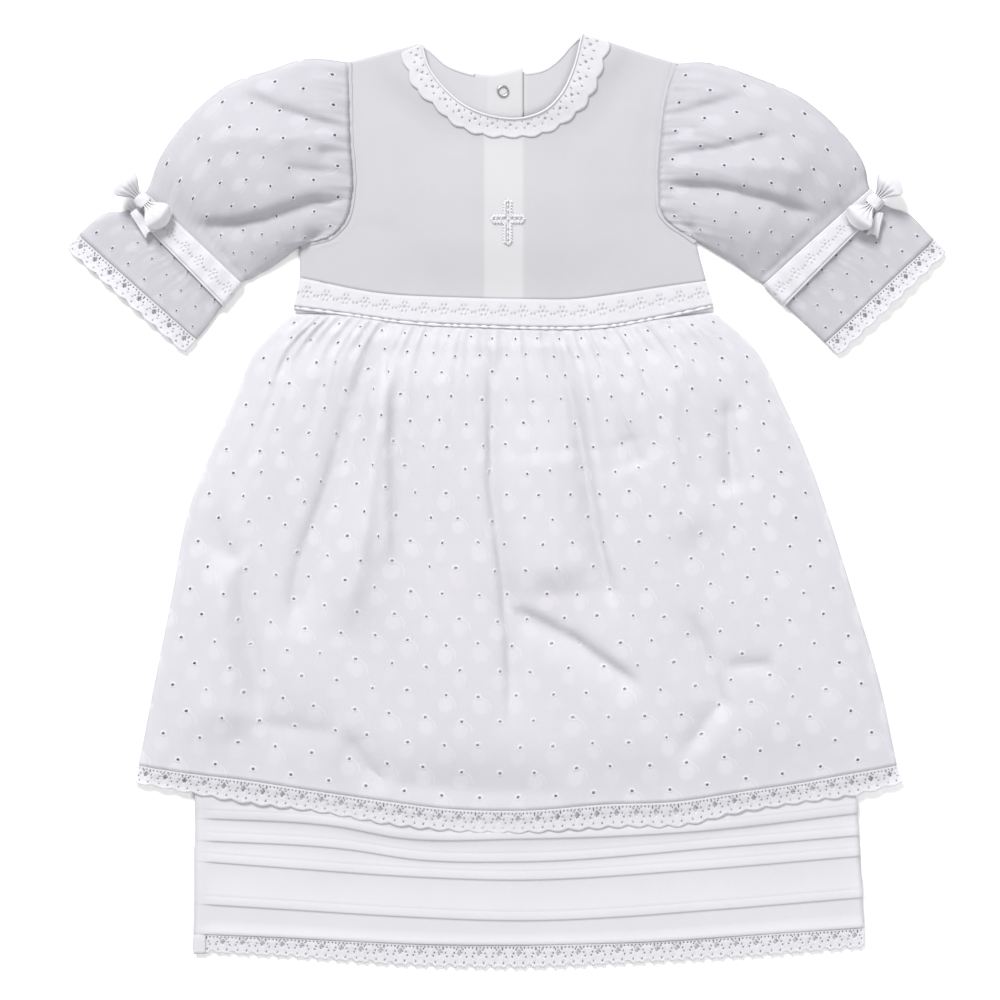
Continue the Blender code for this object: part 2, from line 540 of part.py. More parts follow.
def bow(side, rest):
    """A ring of ribbon pinched in its middle by the knot, and a tail under it. The
    whole bow rests on the highest cloth under its loops, knot or tail."""
    knot, way, reach, tail = BOWS[side]
    knot, way = np.array(knot), np.array(way) / np.linalg.norm(way)
    across = np.array((-way[1], way[0]))
    x, y, height = rest
    under_loops = height[away(x, y, (knot, knot - way * reach)) < 9.0].max()
    under_knot = height[away(x, y, (knot - way, knot + way)) < 6.0].max()
    under_tail = height[away(x, y, tail) < 5.0].max()
    low = max(under_loops, under_knot + LEVEL, under_tail + LEVEL) + GAP

    def place(s, t):
        d = (2 * np.asarray(t, float) - 1) * reach
        half = 3.0 + 6.5 * ramp(np.abs(d), 4.5, 19)
        w = (2 * np.asarray(s, float) - 1) * half
        xy = knot + d[..., None] * way + w[..., None] * across
        return xy[..., 0], xy[..., 1]

    def roof(s, t):
        q = np.abs(2 * np.asarray(t, float) - 1)
        return low + 2.6 + 6.0 * ramp(q, 0.2, 0.62) * (1 - 0.62 * ramp(q, 0.75, 1.0))

    tube(f"bow_{side}_loops", place, (0, 1), 0.0, lambda s, t: low + 0 * t, roof, SATIN, halves=12)

    def wrap(s, t):
        d = (2 * np.asarray(s, float) - 1) * 4.0
        w = (2 * np.asarray(t, float) - 1) * 4.9
        xy = knot + np.asarray(d)[..., None] * way + np.asarray(w)[..., None] * across
        return xy[..., 0], xy[..., 1]

    tube(f"bow_{side}_knot", wrap, (0, 1), 0.0, lambda s, t: low - LEVEL + 0 * t,
         lambda s, t: low + 2.6 + LEVEL + 0 * t, SATIN, halves=4)
    a, b = np.array(tail[0], float), np.array(tail[1], float)
    turn = np.array((-(b - a)[1], (b - a)[0])) / np.linalg.norm(b - a)
    f = np.linspace(0, 1, 4)[:, None, None]
    g = np.array((-1.0, 1.0))[None, :, None]
    half = 2.6 + 1.4 * f
    sheet = a + (b - a) * f + g * half * turn
    x, y = sheet[..., 0], sheet[..., 1]
    wall(f"bow_{side}_tail", x, y, low - LEVEL + 0 * x, SATIN)


def main():
    for old in list(bpy.data.objects):
        bpy.data.objects.remove(old)
    bodice()
    small_parts()
    waist()
    skirts()
    for side in ("left", "right"):
        place, roof = sleeve(side)
        s, t = np.meshgrid(np.linspace(0.6, 0.95, 60), np.linspace(0, 0.45, 40))
        on_band = (s > BAND[0]) & (s < BAND[1])
        bow(side, (*place(s, t), roof(s, t) + LEVEL * on_band))


main()
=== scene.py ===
"""Looks of the christening gown: thin cloth, openwork lace, satin and one metal snap,
each in the place of its plain solid. The gown lies on its back on z = 0, its neck
towards +Y. Tables are in millimetres; left and right are the viewer's."""

import math

import bpy
import numpy as np
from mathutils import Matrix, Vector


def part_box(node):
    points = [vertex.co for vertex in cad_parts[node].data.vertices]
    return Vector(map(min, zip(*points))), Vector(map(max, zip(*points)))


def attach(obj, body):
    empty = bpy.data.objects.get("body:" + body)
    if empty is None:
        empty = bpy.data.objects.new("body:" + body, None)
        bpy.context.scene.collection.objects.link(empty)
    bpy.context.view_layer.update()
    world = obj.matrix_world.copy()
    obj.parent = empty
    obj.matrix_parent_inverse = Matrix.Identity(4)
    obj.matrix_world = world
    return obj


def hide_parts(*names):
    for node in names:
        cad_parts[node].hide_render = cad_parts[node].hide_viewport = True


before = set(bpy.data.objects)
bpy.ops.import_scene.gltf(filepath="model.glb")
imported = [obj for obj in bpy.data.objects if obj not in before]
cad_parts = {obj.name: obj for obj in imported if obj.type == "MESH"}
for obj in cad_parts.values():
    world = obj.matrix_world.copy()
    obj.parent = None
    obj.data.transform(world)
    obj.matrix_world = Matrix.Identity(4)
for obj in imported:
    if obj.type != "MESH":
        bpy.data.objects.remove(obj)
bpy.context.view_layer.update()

MM = 0.001
WALL = 1.0               # a solid's cloth wall
LEVEL = 1.3              # one layer of cloth with its gap
THICK = 0.35             # the cloth itself
LACE_THICK = 0.45
REPEAT = 12.5            # one scallop of the lace
CELL = (22.0, 16.0)      # one eyelet's share of the cloth
ON_FLOOR = 0.35          # the lowest cloth, above the floor

# ---------------------------------------------------------------- outlines (x, y)
NECK_FRONT = ((-52, 287), (-47, 271), (-37, 258), (-25, 248), (-6, 241), (12, 240.5),
              (26, 246), (36, 257), (42, 270), (48, 293))
NECK_BACK = ((-52, 287), (-45, 282), (-37, 275), (-23, 269.5), (-12, 267.5), (10, 269),
             (25, 272), (34, 279), (40, 286), (48, 293))
LACE_OUTER = ((-67, 280), (-63, 272), (-58, 259), (-45, 247), (-33, 236), (-16, 229),
              (3, 227.5), (24, 229.5), (40, 238), (52, 249), (59, 262), (63, 275), (68, 288.5))
LACE_OUTER_BACK = ((-67, 280), (-57, 270), (-44, 261), (-25, 254), (-12, 252), (10, 253),
                   (28, 257), (45, 267), (57, 278), (68, 288.5))
SHOULDER_LEFT, SHOULDER_RIGHT = (-98, 275.5), (107, 275)
ARMHOLE_LEFT = ((-98, 275.5), (-97, 230), (-96, 190), (-99, 177), (-107, 167), (-129, 160))
ARMHOLE_RIGHT = ((107, 275), (101, 254), (97.5, 228), (96, 200), (98, 180), (120, 162))
WAIST_TOP = ((-129, 139.5), (-81, 130), (-31, 127), (11, 126), (43, 126), (76, 130),
             (98, 133.5), (126.5, 137.5))
WAIST_BOTTOM = ((-133, 120), (-105, 116.5), (-60, 110.5), (-13, 108), (25, 107), (62, 108),
                (98, 114), (131, 121))
SKIRT_LEFT = ((-134, 117), (-157, 94), (-170, 63), (-187, 25), (-197, 0), (-210, -63),
              (-220, -113), (-230.5, -167))
SKIRT_RIGHT = ((132, 118), (158, 94), (174, 63), (191, 25), (200, 0), (220, -63),
               (235, -113), (246.5, -167))
HEM = ((-230.5, -167), (-196, -172), (-162, -176), (-120, -182.5), (-82, -188), (-33, -194),
       (10, -195), (64, -191), (105, -189.5), (149, -183), (183, -178), (216, -172), (246.5, -167))
HEM_LACE = ((-234, -178), (-196, -185), (-162, -191), (-120, -196), (-82, -203), (-33, -208.5),
            (0, -210), (39, -208), (73, -206), (114, -205), (141, -198), (183, -191), (225, -185),
            (250.5, -178))
UNDER_LEFT = ((-124, 99), (-150, 60), (-174, 0), (-188, -63), (-194, -130), (-195, -199),
              (-196, -273))
UNDER_RIGHT = ((122, 100), (151, 60), (177, 0), (199, -63), (214, -130), (222, -197),
               (226, -269))
UNDER_TOP = ((-124, 99), (-60, 93), (0, 90), (62, 93), (122, 100))
UNDER_HEM = ((-196, -273), (-146, -275), (-50, -279.5), (10, -280), (88, -278), (166, -273),
             (226, -269))
UNDER_LACE = ((-196.5, -284), (-146, -286.5), (-50, -293), (10, -294), (81, -291), (166, -286),
              (226.5, -281))
TUCKS = (  # each tuck's folded edge, from the upper one down
    ((-195, -200), (-101, -206), (-70, -212), (10, -213), (124, -208), (222, -197)),
    ((-195, -214), (-98, -220), (-58, -226), (10, -227.5), (141, -218), (222.5, -211)),
    ((-195.5, -227), (-130, -232), (-58, -237), (10, -239), (115, -233), (223, -224)),
    ((-195.5, -254), (-130, -258), (-65, -262), (10, -264.5), (141, -257), (225, -250)),
)
SLEEVE = {  # along: left upper, left lower, right upper, right lower
    0.00: ((-99.5, 275), (-130, 159), (108, 274.5), (121.5, 161)),
    0.10: ((-121, 278), (-134, 156), (126, 275.5), (128, 158)),
    0.25: ((-150, 270), (-141, 150.5), (158, 266), (137, 152.5)),
    0.40: ((-178, 259), (-149, 145), (190, 251), (146, 147)),
    0.52: ((-203, 236), (-155, 142), (215, 228), (153, 142)),
    0.60: ((-218, 214), (-160, 139), (226, 211), (158, 138.5)),
    0.66: ((-224.5, 196), (-164.5, 137.5), (228.5, 197.5), (162, 137)),
    0.78: ((-238, 182), (-179, 120.5), (240, 185), (178, 121)),
    0.88: ((-251, 181), (-186.5, 110), (254, 180), (189, 111)),
    1.00: ((-268.5, 167), (-194, 101), (270, 164), (201.5, 99)),
}
BAND = (0.672, 0.768)    # the band's two edges, along the sleeve
PUFF = ((0.0, 1.0), (0.1, 9), (0.3, 17), (0.45, 16), (0.6, 7), (0.66, 2.0), (0.78, 2.0),
        (0.88, 2.6), (1.0, 2.8))     # along, how far the upper wall stands up
CUFF_LACE = 12.0
LAP_EDGE, LAP_START, LAP_END = -12.0, -18.0, 11.3
BOWS = {  # knot, direction of the free loop, how far the loops reach, tail's start and end
    "left": ((-227, 187.5), (-0.71, 0.70), 22, ((-233, 181), (-222, 166))),
    "right": ((231, 187), (0.68, 0.73), 21, ((235, 180.5), (230, 165))),
}

# Creases of the overskirt's front: height, reach to the left and to the right, path.
SKIRT_FOLDS = (
    (-5.0, 5, 9, ((-81, 98), (-93, 66), (-109, 9), (-125, -38), (-137, -87))),
    (2.6, 12, 9, ((-77, 74), (-85, -6), (-101, -87))),
    (1.6, 10, 2.5, ((-74, 74), (-74, 10), (-73, -46))),
    (-2.8, 3, 7, ((-9, 92), (-9, 9), (-3, -38), (3, -87), (3, -147))),
    (-3.0, 7, 3, ((35, 92), (47, 42), (59, -26), (72, -79))),
    (3.0, 22, 22, ((28, 30), (32, -28), (34, -60))),
    (-2.8, 9, 3, ((11, -71), (43, -87), (88, -119))),
    (2.4, 13, 11, ((101, 74), (108, 9), (124, -30))),
    (-2.0, 12, 6, ((78, 40), (84, 20))),
    (-2.6, 6, 5, ((140, 58), (144, 2))),
    (-2.2, 9, 5, ((120, -79), (136, -127), (108, -167))),
    (-1.6, 5, 4, ((143, -104), (169, -103))),
    (-2.4, 5, 9, ((-193, -14), (-180, -30), (-166, -42))),
    (-2.0, 7, 5, ((-166, -47), (-157, -107), (-154, -139))),
    (-1.6, 14, 10, ((-150, -141), (-104, -146))),
    (-1.8, 5, 6, ((-97, -151), (-86, -170), (-73, -183))),
    (-1.3, 8, 10, ((-69, -179), (-10, -184), (43, -184))),
    (2.0, 12, 9, ((-178, -47), (-169, -151))),
    (-1.6, 4, 5, ((-134, 95), (-141, 76))),
)
# Creases of the sleeves, from the armhole outwards: the sharper side faces the hem.
SLEEVE_FOLDS = {
    "left": ((-5.0, 2.5, 10, ((-97, 189), (-121, 187), (-136, 182), (-150, 176.5), (-168, 173),
                              (-199, 173))),
             (-3.6, 2.5, 9, ((-101, 234), (-121, 239), (-142, 245.5), (-166, 257))),
             (-2.4, 3, 5, ((-98, 219), (-118, 217))),
             (-2.0, 3, 5, ((-98, 207), (-120, 206), (-139, 208))),
             (2.0, 9, 9, ((-100, 225), (-150, 226), (-190, 224))),
             (-3.6, 4, 6, ((-97, 177), (-112, 168), (-127, 163)))),
    "right": ((-5.0, 10, 2.5, ((97, 199), (130, 196), (165, 188), (200, 178))),
              (-3.6, 9, 2.5, ((102, 217), (135, 220), (172, 229))),
              (-3.0, 8, 2.5, ((104, 243), (125, 247), (150, 255))),
              (-2.4, 5, 3, ((100, 231), (122, 233))),
              (2.0, 9, 9, ((105, 208), (150, 208), (195, 204))),
              (-3.6, 6, 4, ((98, 184), (108, 175), (120, 167)))),
}


# ---------------------------------------------------------------- curves
def cubic(knots, points, where):
    """A smooth path through points at these knots: a cubic between each two, whose slope
    at each point is the weighted mean of the slopes on its two sides."""
    slopes = np.gradient(points, knots, axis=0)
    i = np.clip(np.searchsorted(knots, where, side="right") - 1, 0, len(knots) - 2)
    step = (knots[i + 1] - knots[i])[..., None]
    f = (where[..., None] - knots[i][..., None]) / step
    return ((2 * f**3 - 3 * f**2 + 1) * points[i] + (f**3 - 2 * f**2 + f) * step * slopes[i]
            + (3 * f**2 - 2 * f**3) * points[i + 1] + (f**3 - f**2) * step * slopes[i + 1])


def smooth_path(points, where):
    """Points of the smooth path at fractions of its length."""
    points = np.asarray(points, float)
    chords = np.linalg.norm(np.diff(points, axis=0), axis=1)
    knots = np.concatenate(([0.0], np.cumsum(chords))) / chords.sum()
    return cubic(knots, points, np.clip(np.asarray(where, float), 0, 1))


def along_path(path):
    return lambda where: smooth_path(path, where)


def y_at(path, x):
    """Height on the page of a path that runs towards +X."""
    return np.interp(x, *np.transpose(path))


def sampled(path, count=60):
    return smooth_path(path, np.linspace(0, 1, count))


def length(path):
    return np.linalg.norm(np.diff(np.asarray(path, float), axis=0), axis=1).sum()


def offset(points, distance):
    """The path moved sideways, to the right of its own direction."""
    points = np.asarray(points, float)
    along = np.gradient(points, axis=0)
    along /= np.linalg.norm(along, axis=1)[:, None]
    return points + distance * np.column_stack((along[:, 1], -along[:, 0]))


def near(x, y, path):
    """Signed distance to a path, above 0 on the left of its direction, and how far
    along the path the nearest point is, from 0 to 1."""
    path = np.asarray(path, float)
    spot = np.stack(np.broadcast_arrays(x, y), axis=-1).astype(float)
    best = np.full(spot.shape[:-1], np.inf)
    side, along = np.zeros_like(best), np.zeros_like(best)
    whole, done = length(path), 0.0
    for a, b in zip(path[:-1], path[1:]):
        way = b - a
        f = np.clip((spot - a) @ way / (way @ way), 0, 1)
        gap = spot - a - f[..., None] * way
        far = np.linalg.norm(gap, axis=-1)
        closer = far < best
        best = np.where(closer, far, best)
        turned = way[0] * gap[..., 1] - way[1] * gap[..., 0]
        side = np.where(closer, np.sign(turned), side)
        along = np.where(closer, (done + f * np.linalg.norm(way)) / whole, along)
        done += np.linalg.norm(way)
    return best * side, along


def away(x, y, path):
    return np.abs(near(x, y, path)[0])


def ramp(value, start, end):
    """0 before start and 1 after end, with a smooth rise between."""
    f = np.clip((value - start) / (end - start), 0, 1)
    return f * f * (3 - 2 * f)


def creases(x, y, folds):
    """Sum of soft troughs and ridges. Each falls off as exp(-d / reach) on its two
    sides, rounded at its line, and dies away over the last fifth of its path."""
    total = 0.0
    for height, left, right, path in folds:
        d, along = near(x, y, path)
        reach = np.where(d > 0, right, left)
        soft = np.sqrt((d / reach) ** 2 + 0.05) - 0.22
        ends = ramp(along, -0.15, 0.1) * (1 - ramp(along, 0.78, 1.02))
        total = total + height * np.exp(-soft) * ends * np.exp(-(d / reach / 3) ** 2)
    return total


def between_edges(top, bottom, left, right):
    """place(u, v) of a sheet between four edges: the sum of what its two pairs of
    opposite edges give, less the straight patch of its four corners."""
    corner = [smooth_path(p, e) for p, e in ((top, 0.0), (top, 1.0), (bottom, 0.0), (bottom, 1.0))]

    def place(u, v):
        a, b = np.asarray(u, float)[..., None], np.asarray(v, float)[..., None]
        rows = (1 - b) * smooth_path(top, u) + b * smooth_path(bottom, u)
        columns = (1 - a) * smooth_path(left, v) + a * smooth_path(right, v)
        flat = ((1 - b) * ((1 - a) * corner[0] + a * corner[1])
                + b * ((1 - a) * corner[2] + a * corner[3]))
        sheet = rows + columns - flat
        return sheet[..., 0], sheet[..., 1]

    return place


def between(points, start, end):
    """The part of a path, which runs towards +X, from x = start to x = end."""
    points = np.asarray(points, float)
    parts = [points[(points[:, 0] > start + 0.5) & (points[:, 0] < end - 0.5)]]
    if start > points[0, 0]:
        parts.insert(0, [[start, y_at(points, start)]])
    if end < points[-1, 0]:
        parts.append([[end, y_at(points, end)]])
    return np.concatenate(parts)


def wave(x, y, size, seed):
    """Slow unevenness between -1 and 1: the mean of six plane waves of about this size."""
    rng = np.random.default_rng(seed)
    total = 0.0
    for _ in range(6):
        turn, phase, scale = rng.uniform(0, 2 * math.pi, 2).tolist() + [rng.uniform(0.7, 1.5)]
        k = 2 * math.pi / (size * scale)
        total = total + np.sin(k * (math.cos(turn) * x + math.sin(turn) * y) + phase)
    return total / 4


# ---------------------------------------------------------------- meshes
def mesh_piece(name, points, quads, material, uv=None, thick=None, up=True):
    """An object from points in millimetres and a (n, 4) array of corners. With up, the
    faces are turned so that most face up; Solidify then gives the cloth its thickness."""
    points, quads = np.asarray(points, float), np.asarray(quads, np.int32)
    if up is not None:
        a, b, c = points[quads[:, 0]], points[quads[:, 1]], points[quads[:, 2]]
        if (np.cross(b - a, c - a)[:, 2].sum() > 0) != up:
            quads = quads[:, ::-1]
    used, index = np.unique(quads, return_inverse=True)
    points, quads = points[used], index.reshape(quads.shape)
    mesh = bpy.data.meshes.new(name)
    mesh.vertices.add(len(points))
    mesh.vertices.foreach_set("co", (points * MM).ravel())
    mesh.loops.add(quads.size)
    mesh.loops.foreach_set("vertex_index", quads.ravel().astype(np.int32))
    mesh.polygons.add(len(quads))
    mesh.polygons.foreach_set("loop_start", np.arange(0, quads.size, 4, dtype=np.int32))
    mesh.update(calc_edges=True)
    mesh.validate()
    if uv is not None:
        layer = mesh.uv_layers.new(name="UVMap")
        layer.data.foreach_set("uv", np.asarray(uv, float)[used][quads.ravel()].ravel())
    mesh.shade_smooth()
    piece = bpy.data.objects.new(name, mesh)
    bpy.context.collection.objects.link(piece)
    mesh.materials.append(material)
    if thick:
        shell = piece.modifiers.new("thickness", "SOLIDIFY")
        shell.thickness = thick * MM
        shell.offset = -1.0
    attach(piece, "root")
    return piece


def grid_quads(rows, columns, wrap=False):
    """Corners of the faces between the points of a grid, row by row. With wrap, the last
    column joins the first."""
    i, j = np.meshgrid(np.arange(rows - 1), np.arange(columns if wrap else columns - 1),
                       indexing="ij")
    k = (j + 1) % columns
    return np.stack((i * columns + j, i * columns + k, (i + 1) * columns + k,
                     (i + 1) * columns + j), axis=-1).reshape(-1, 4)


def grid_piece(name, points, material, uv=None, thick=None, up=True, wrap=False):
    """mesh_piece of a grid of points. Its UV map is x and y unless one is given."""
    uv = points[..., :2] if uv is None else uv
    return mesh_piece(name, points.reshape(-1, 3), grid_quads(*points.shape[:2], wrap=wrap),
                      material, uv.reshape(-1, 2), thick, up)


def plain_cloth(name, surface, columns, rows, material, size, thick=THICK, up=True):
    """surface(u, v) on an even grid. The UV map is in millimetres of cloth."""
    v, u = np.meshgrid(np.linspace(0, 1, rows + 1), np.linspace(0, 1, columns + 1), indexing="ij")
    return grid_piece(name, surface(u, v), material, np.stack((u * size[0], v * size[1]), axis=-1),
                      thick, up)


def stand_in(piece, node):
    """The piece takes its solid's place: the solid is hidden."""
    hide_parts(node)
    return piece


def eyelet_cloth(name, surface, cells, fine, material, hole=0.9, size=CELL, up=True):
    """surface(u, v) with a round hole in each cell, every other row half a cell along.
    Around a hole, the four middle squares give way to three rings of eight points:
    flat cloth, the crest of the stitched rim, and the hole's edge. The UV map counts
    cells."""
    across, down = cells[0] * fine[0], cells[1] * fine[1]
    j, i = np.meshgrid(np.arange(down + 1), np.arange(across + 1), indexing="ij")
    u, v = (i / across).ravel(), (j / down).ravel()
    row, column = np.meshgrid(np.arange(cells[1]), np.arange(cells[0]), indexing="ij")
    middle_i = column * fine[0] + np.where(row % 2, fine[0], fine[0] // 2)
    middle_j = row * fine[1] + fine[1] // 2
    keep = (middle_i <= across - 2) & (middle_i >= 2)
    middle_i, middle_j = middle_i[keep], middle_j[keep]
    quads = grid_quads(down + 1, across + 1)
    taken = np.zeros((down, across), bool)
    for dj in (-1, 0):
        for di in (-1, 0):
            taken[middle_j + dj, middle_i + di] = True
    quads = quads[~taken.ravel()]
    steps = np.array(((1, 0), (1, 1), (0, 1), (-1, 1), (-1, 0), (-1, -1), (0, -1), (1, -1)))
    rings = [(middle_j[:, None] + steps[:, 1]) * (across + 1) + middle_i[:, None] + steps[:, 0]]
    turn = np.arctan2(steps[:, 1], steps[:, 0])
    per_u, per_v = size[0] * cells[0], size[1] * cells[1]
    lift = [np.zeros(len(u))]
    for radius, height in ((hole + 0.95, 0.0), (hole + 0.5, 0.42), (hole, 0.2)):
        rings.append(len(u) + np.arange(len(middle_i) * 8).reshape(-1, 8))
        u = np.concatenate((u, (middle_i[:, None] / across + radius / per_u * np.cos(turn)).ravel()))
        v = np.concatenate((v, (middle_j[:, None] / down + radius / per_v * np.sin(turn)).ravel()))
        lift.append(np.full(len(middle_i) * 8, height))
    for outer, inner in zip(rings[:-1], rings[1:]):
        after = np.roll(outer, -1, axis=1), np.roll(inner, -1, axis=1)
        quads = np.concatenate((quads, np.stack((outer, after[0], after[1], inner), -1).reshape(-1, 4)))
    points = surface(u, v)
    lift = np.concatenate(lift) * (1 if up else -1)
    points[:, 2] += lift
    uv = np.column_stack((u * cells[0], v * cells[1]))
    return mesh_piece(name, points, quads, material, uv, THICK, up)


# Which squares of a lace repeat are open, 16 across and 12 from the sewn edge to the tips.
def lace_open(i, j):
    """Slots near the sewn edge, a round opening in each fan with a slanting line of small
    ones on each side of it, and two pinholes near the tips."""
    across = np.abs(i % 16 - 7.5)
    slot = (j == 1) & (i % 3 == 1)
    middle = (np.isin(j, (3, 5)) & (across < 1)) | ((j == 4) & (across < 2))
    slant = np.isin(j, (2, 4)) & (across == j + 0.5)
    last = (j == 6) & (across == 5.5)
    pinhole = (j == 9) & np.isin(i % 16, (4, 11))
    return slot | middle | slant | last | pinhole


def neck_open(i, j):
    """Openings of the quieter neck lace: one round one and four pinholes a repeat."""
    across = np.abs(i % 16 - 7.5)
    return ((j == 4) & (across < 1)) | (np.isin(j, (2, 6)) & (across == 4.5))


def band_open(i, j):
    """Openings of the band lace: a small round one with six pinholes about it."""
    across = np.abs(i % 16 - 7.5)
    middle = (j == 5) & (across < 1)
    about = (np.isin(j, (3, 7)) & (across == 1.5)) | ((j == 5) & (across == 3.5))
    apart = (j == 6) & (across == 6.5)
    return middle | about | apart


def lace(name, inner, outer, height, opened=lace_open, scallop=1.6, picot=0.0, up=True,
         wide=14.0, whole=None, wrap=False, bulge=0.22):
    """Openwork between two edges: 16 by 12 squares a repeat, less the open ones. The outer
    edge dips by scallop between repeats; slow sines draw the squares out of line."""
    whole = whole or length(outer(np.linspace(0, 1, 80)))
    repeats = max(2, round(whole / REPEAT))
    columns, rows = 16 * repeats, 12
    j, i = np.meshgrid(np.arange(rows + 1), np.arange(columns + 1), indexing="ij")
    p, q = i / 16.0, j / rows
    p = p + 0.010 * np.sin(2 * math.pi * (p * 3 + q)) * (j > 1) * (j < rows)
    q = q + 0.012 * np.sin(2 * math.pi * (2 * p - q)) * (j > 1) * (j < rows)
    dip = scallop * (1 - np.abs(np.sin(math.pi * p))) - picot * (np.cos(4 * math.pi * p) < -0.6)
    reach = q * (1 - dip / wide * ramp(q, 0.3, 1.0))
    a, b = inner(p / repeats), outer(p / repeats)
    sheet = a + (b - a) * reach[..., None]
    x, y = sheet[..., 0], sheet[..., 1]
    crest = bulge * (np.exp(-((q - 0.95) / 0.05) ** 2) + 0.7 * np.exp(-((q - 0.3) / 0.05) ** 2)
                     + 0.5 * np.cos(2 * math.pi * p) * np.sin(math.pi * q))
    z = height(p / repeats, x, y) + (crest if up else -crest)
    points, uv = np.stack((x, y, z), axis=-1), np.stack((p * REPEAT, q * wide), axis=-1)
    if wrap:
        points, uv = points[:, :-1], uv[:, :-1]
    quads = grid_quads(*points.shape[:2], wrap=wrap)[~opened(i, j)[:-1, :-1].ravel()]
    return mesh_piece(name, points.reshape(-1, 3), quads, LACE, uv.reshape(-1, 2), LACE_THICK,
                      None if wrap else up)


# ---------------------------------------------------------------- materials
def linear(hex_colour):
    """An sRGB hex colour as linear red, green, blue and alpha."""
    part = [int(hex_colour[i:i + 2], 16) / 255 for i in (1, 3, 5)]
    return [c / 12.92 if c <= 0.04045 else ((c + 0.055) / 1.055) ** 2.4 for c in part] + [1.0]


def add(tree, kind, *values, settings=None, **links):
    """Adds a node: kind is its type, or else an operation of the Math node. values fill
    its first inputs and links its named ones, each with a value, an output, or a node
    whose first output is meant."""
    if not kind.startswith("ShaderNode"):
        kind, settings = "ShaderNodeMath", {"operation": kind}
    made = tree.nodes.new(kind)
    for key, value in (settings or {}).items():
        setattr(made, key, value)
    for key, value in (*enumerate(values), *links.items()):
        if isinstance(value, bpy.types.Node):
            value = value.outputs[0]
        if isinstance(value, bpy.types.NodeSocket):
            tree.links.new(value, made.inputs[key])
        else:
            made.inputs[key].default_value = value
    return made


SMOOTH = {"interpolation_type": "SMOOTHSTEP"}


def limits(start, end, low, high):
    return {"From Min": start, "From Max": end, "To Min": low, "To Max": high}


def squares(tree, a, b):
    """The sum of two squares."""
    return add(tree, "MULTIPLY_ADD", a, a, add(tree, "MULTIPLY", b, b))


def cloth_material(name, colour, rough=0.85, sheen=0.15, thread=0.6, weave=0.25, mottle=0.03,
                   thin=0.3):
    """A woven white cloth. Threads cross at right angles; they are drawn this many
    millimetres apart, coarser than real ones, so that they show. A share of the light,
    thin, goes through, so the hollows under the cloth are pale."""
    material = bpy.data.materials.new(name)
    material.use_nodes = True
    tree = material.node_tree
    shader = tree.nodes["Principled BSDF"]
    for key, value in (("Roughness", rough), ("Sheen Weight", sheen), ("Specular IOR Level", 0.25)):
        shader.inputs[key].default_value = value
    place = add(tree, "ShaderNodeTexCoord").outputs["Object"]
    cloud = add(tree, "ShaderNodeTexNoise", Vector=place, Scale=28.0, Detail=3.0)
    shade = add(tree, "ShaderNodeMapRange", cloud.outputs["Fac"],
                **limits(0, 1, 1 - mottle, 1 + mottle))
    tint = add(tree, "ShaderNodeVectorMath", linear(colour)[:3], settings={"operation": "SCALE"},
               Scale=shade)
    split = add(tree, "ShaderNodeSeparateXYZ", place)
    turns = 2 * math.pi / (thread * MM)
    threads = [add(tree, "MULTIPLY", split.outputs[axis], turns) for axis in "XY"]
    cross = add(tree, "MULTIPLY", *(add(tree, "SINE", thread) for thread in threads))
    bump = add(tree, "ShaderNodeBump", Height=cross, Strength=weave, Distance=0.00012)
    tree.links.new(bump.outputs[0], shader.inputs["Normal"])
    tree.links.new(tint.outputs[0], shader.inputs["Base Color"])
    through = add(tree, "ShaderNodeBsdfTranslucent", Color=linear(colour), Normal=bump)
    both = add(tree, "ShaderNodeMixShader", thin, shader, through)
    tree.links.new(both.outputs[0], tree.nodes["Material Output"].inputs["Surface"])
    return material, tree, shader, tint, cross, bump


def second_colour(tree, shader, tint, share, colour):
    """Lays another colour over this share of the cloth's own."""
    mix = add(tree, "ShaderNodeMix", settings={"data_type": "RGBA"}, Factor=share)
    tree.links.new(tint.outputs[0], mix.inputs[6])
    mix.inputs[7].default_value = linear(colour)
    tree.links.new(mix.outputs[2], shader.inputs["Base Color"])


def batiste():
    """Cotton batiste: a fine plain weave, matt, a little blue against a white ground."""
    return cloth_material("cotton_batiste", "#E1E0E4")[0]


def batiste_with_painted_light_stripe(name, colour, painted_light_stripe_colour, start, end):
    """Thin batiste whose middle stripe has a second layer behind it: the back's button
    band, seen through the front as a slightly lighter stripe, and seen bare at the back.
    The stripe's lighter colour is painted light: it stands in for the light that the
    doubled cloth gives back."""
    material, tree, shader, tint, _, _ = cloth_material(name, colour)
    x = add(tree, "ShaderNodeSeparateXYZ", add(tree, "ShaderNodeTexCoord").outputs["Object"])
    edges = [add(tree, "ShaderNodeMapRange", x, settings=SMOOTH, **limits(at, at + 0.0028, low, high))
             for at, low, high in ((start, 0.0, 1.0), (end, 1.0, 0.0))]
    # Painted light: the stripe is coloured lighter than the rest of the cloth.
    second_colour(tree, shader, tint, add(tree, "MULTIPLY", *edges), painted_light_stripe_colour)
    return material


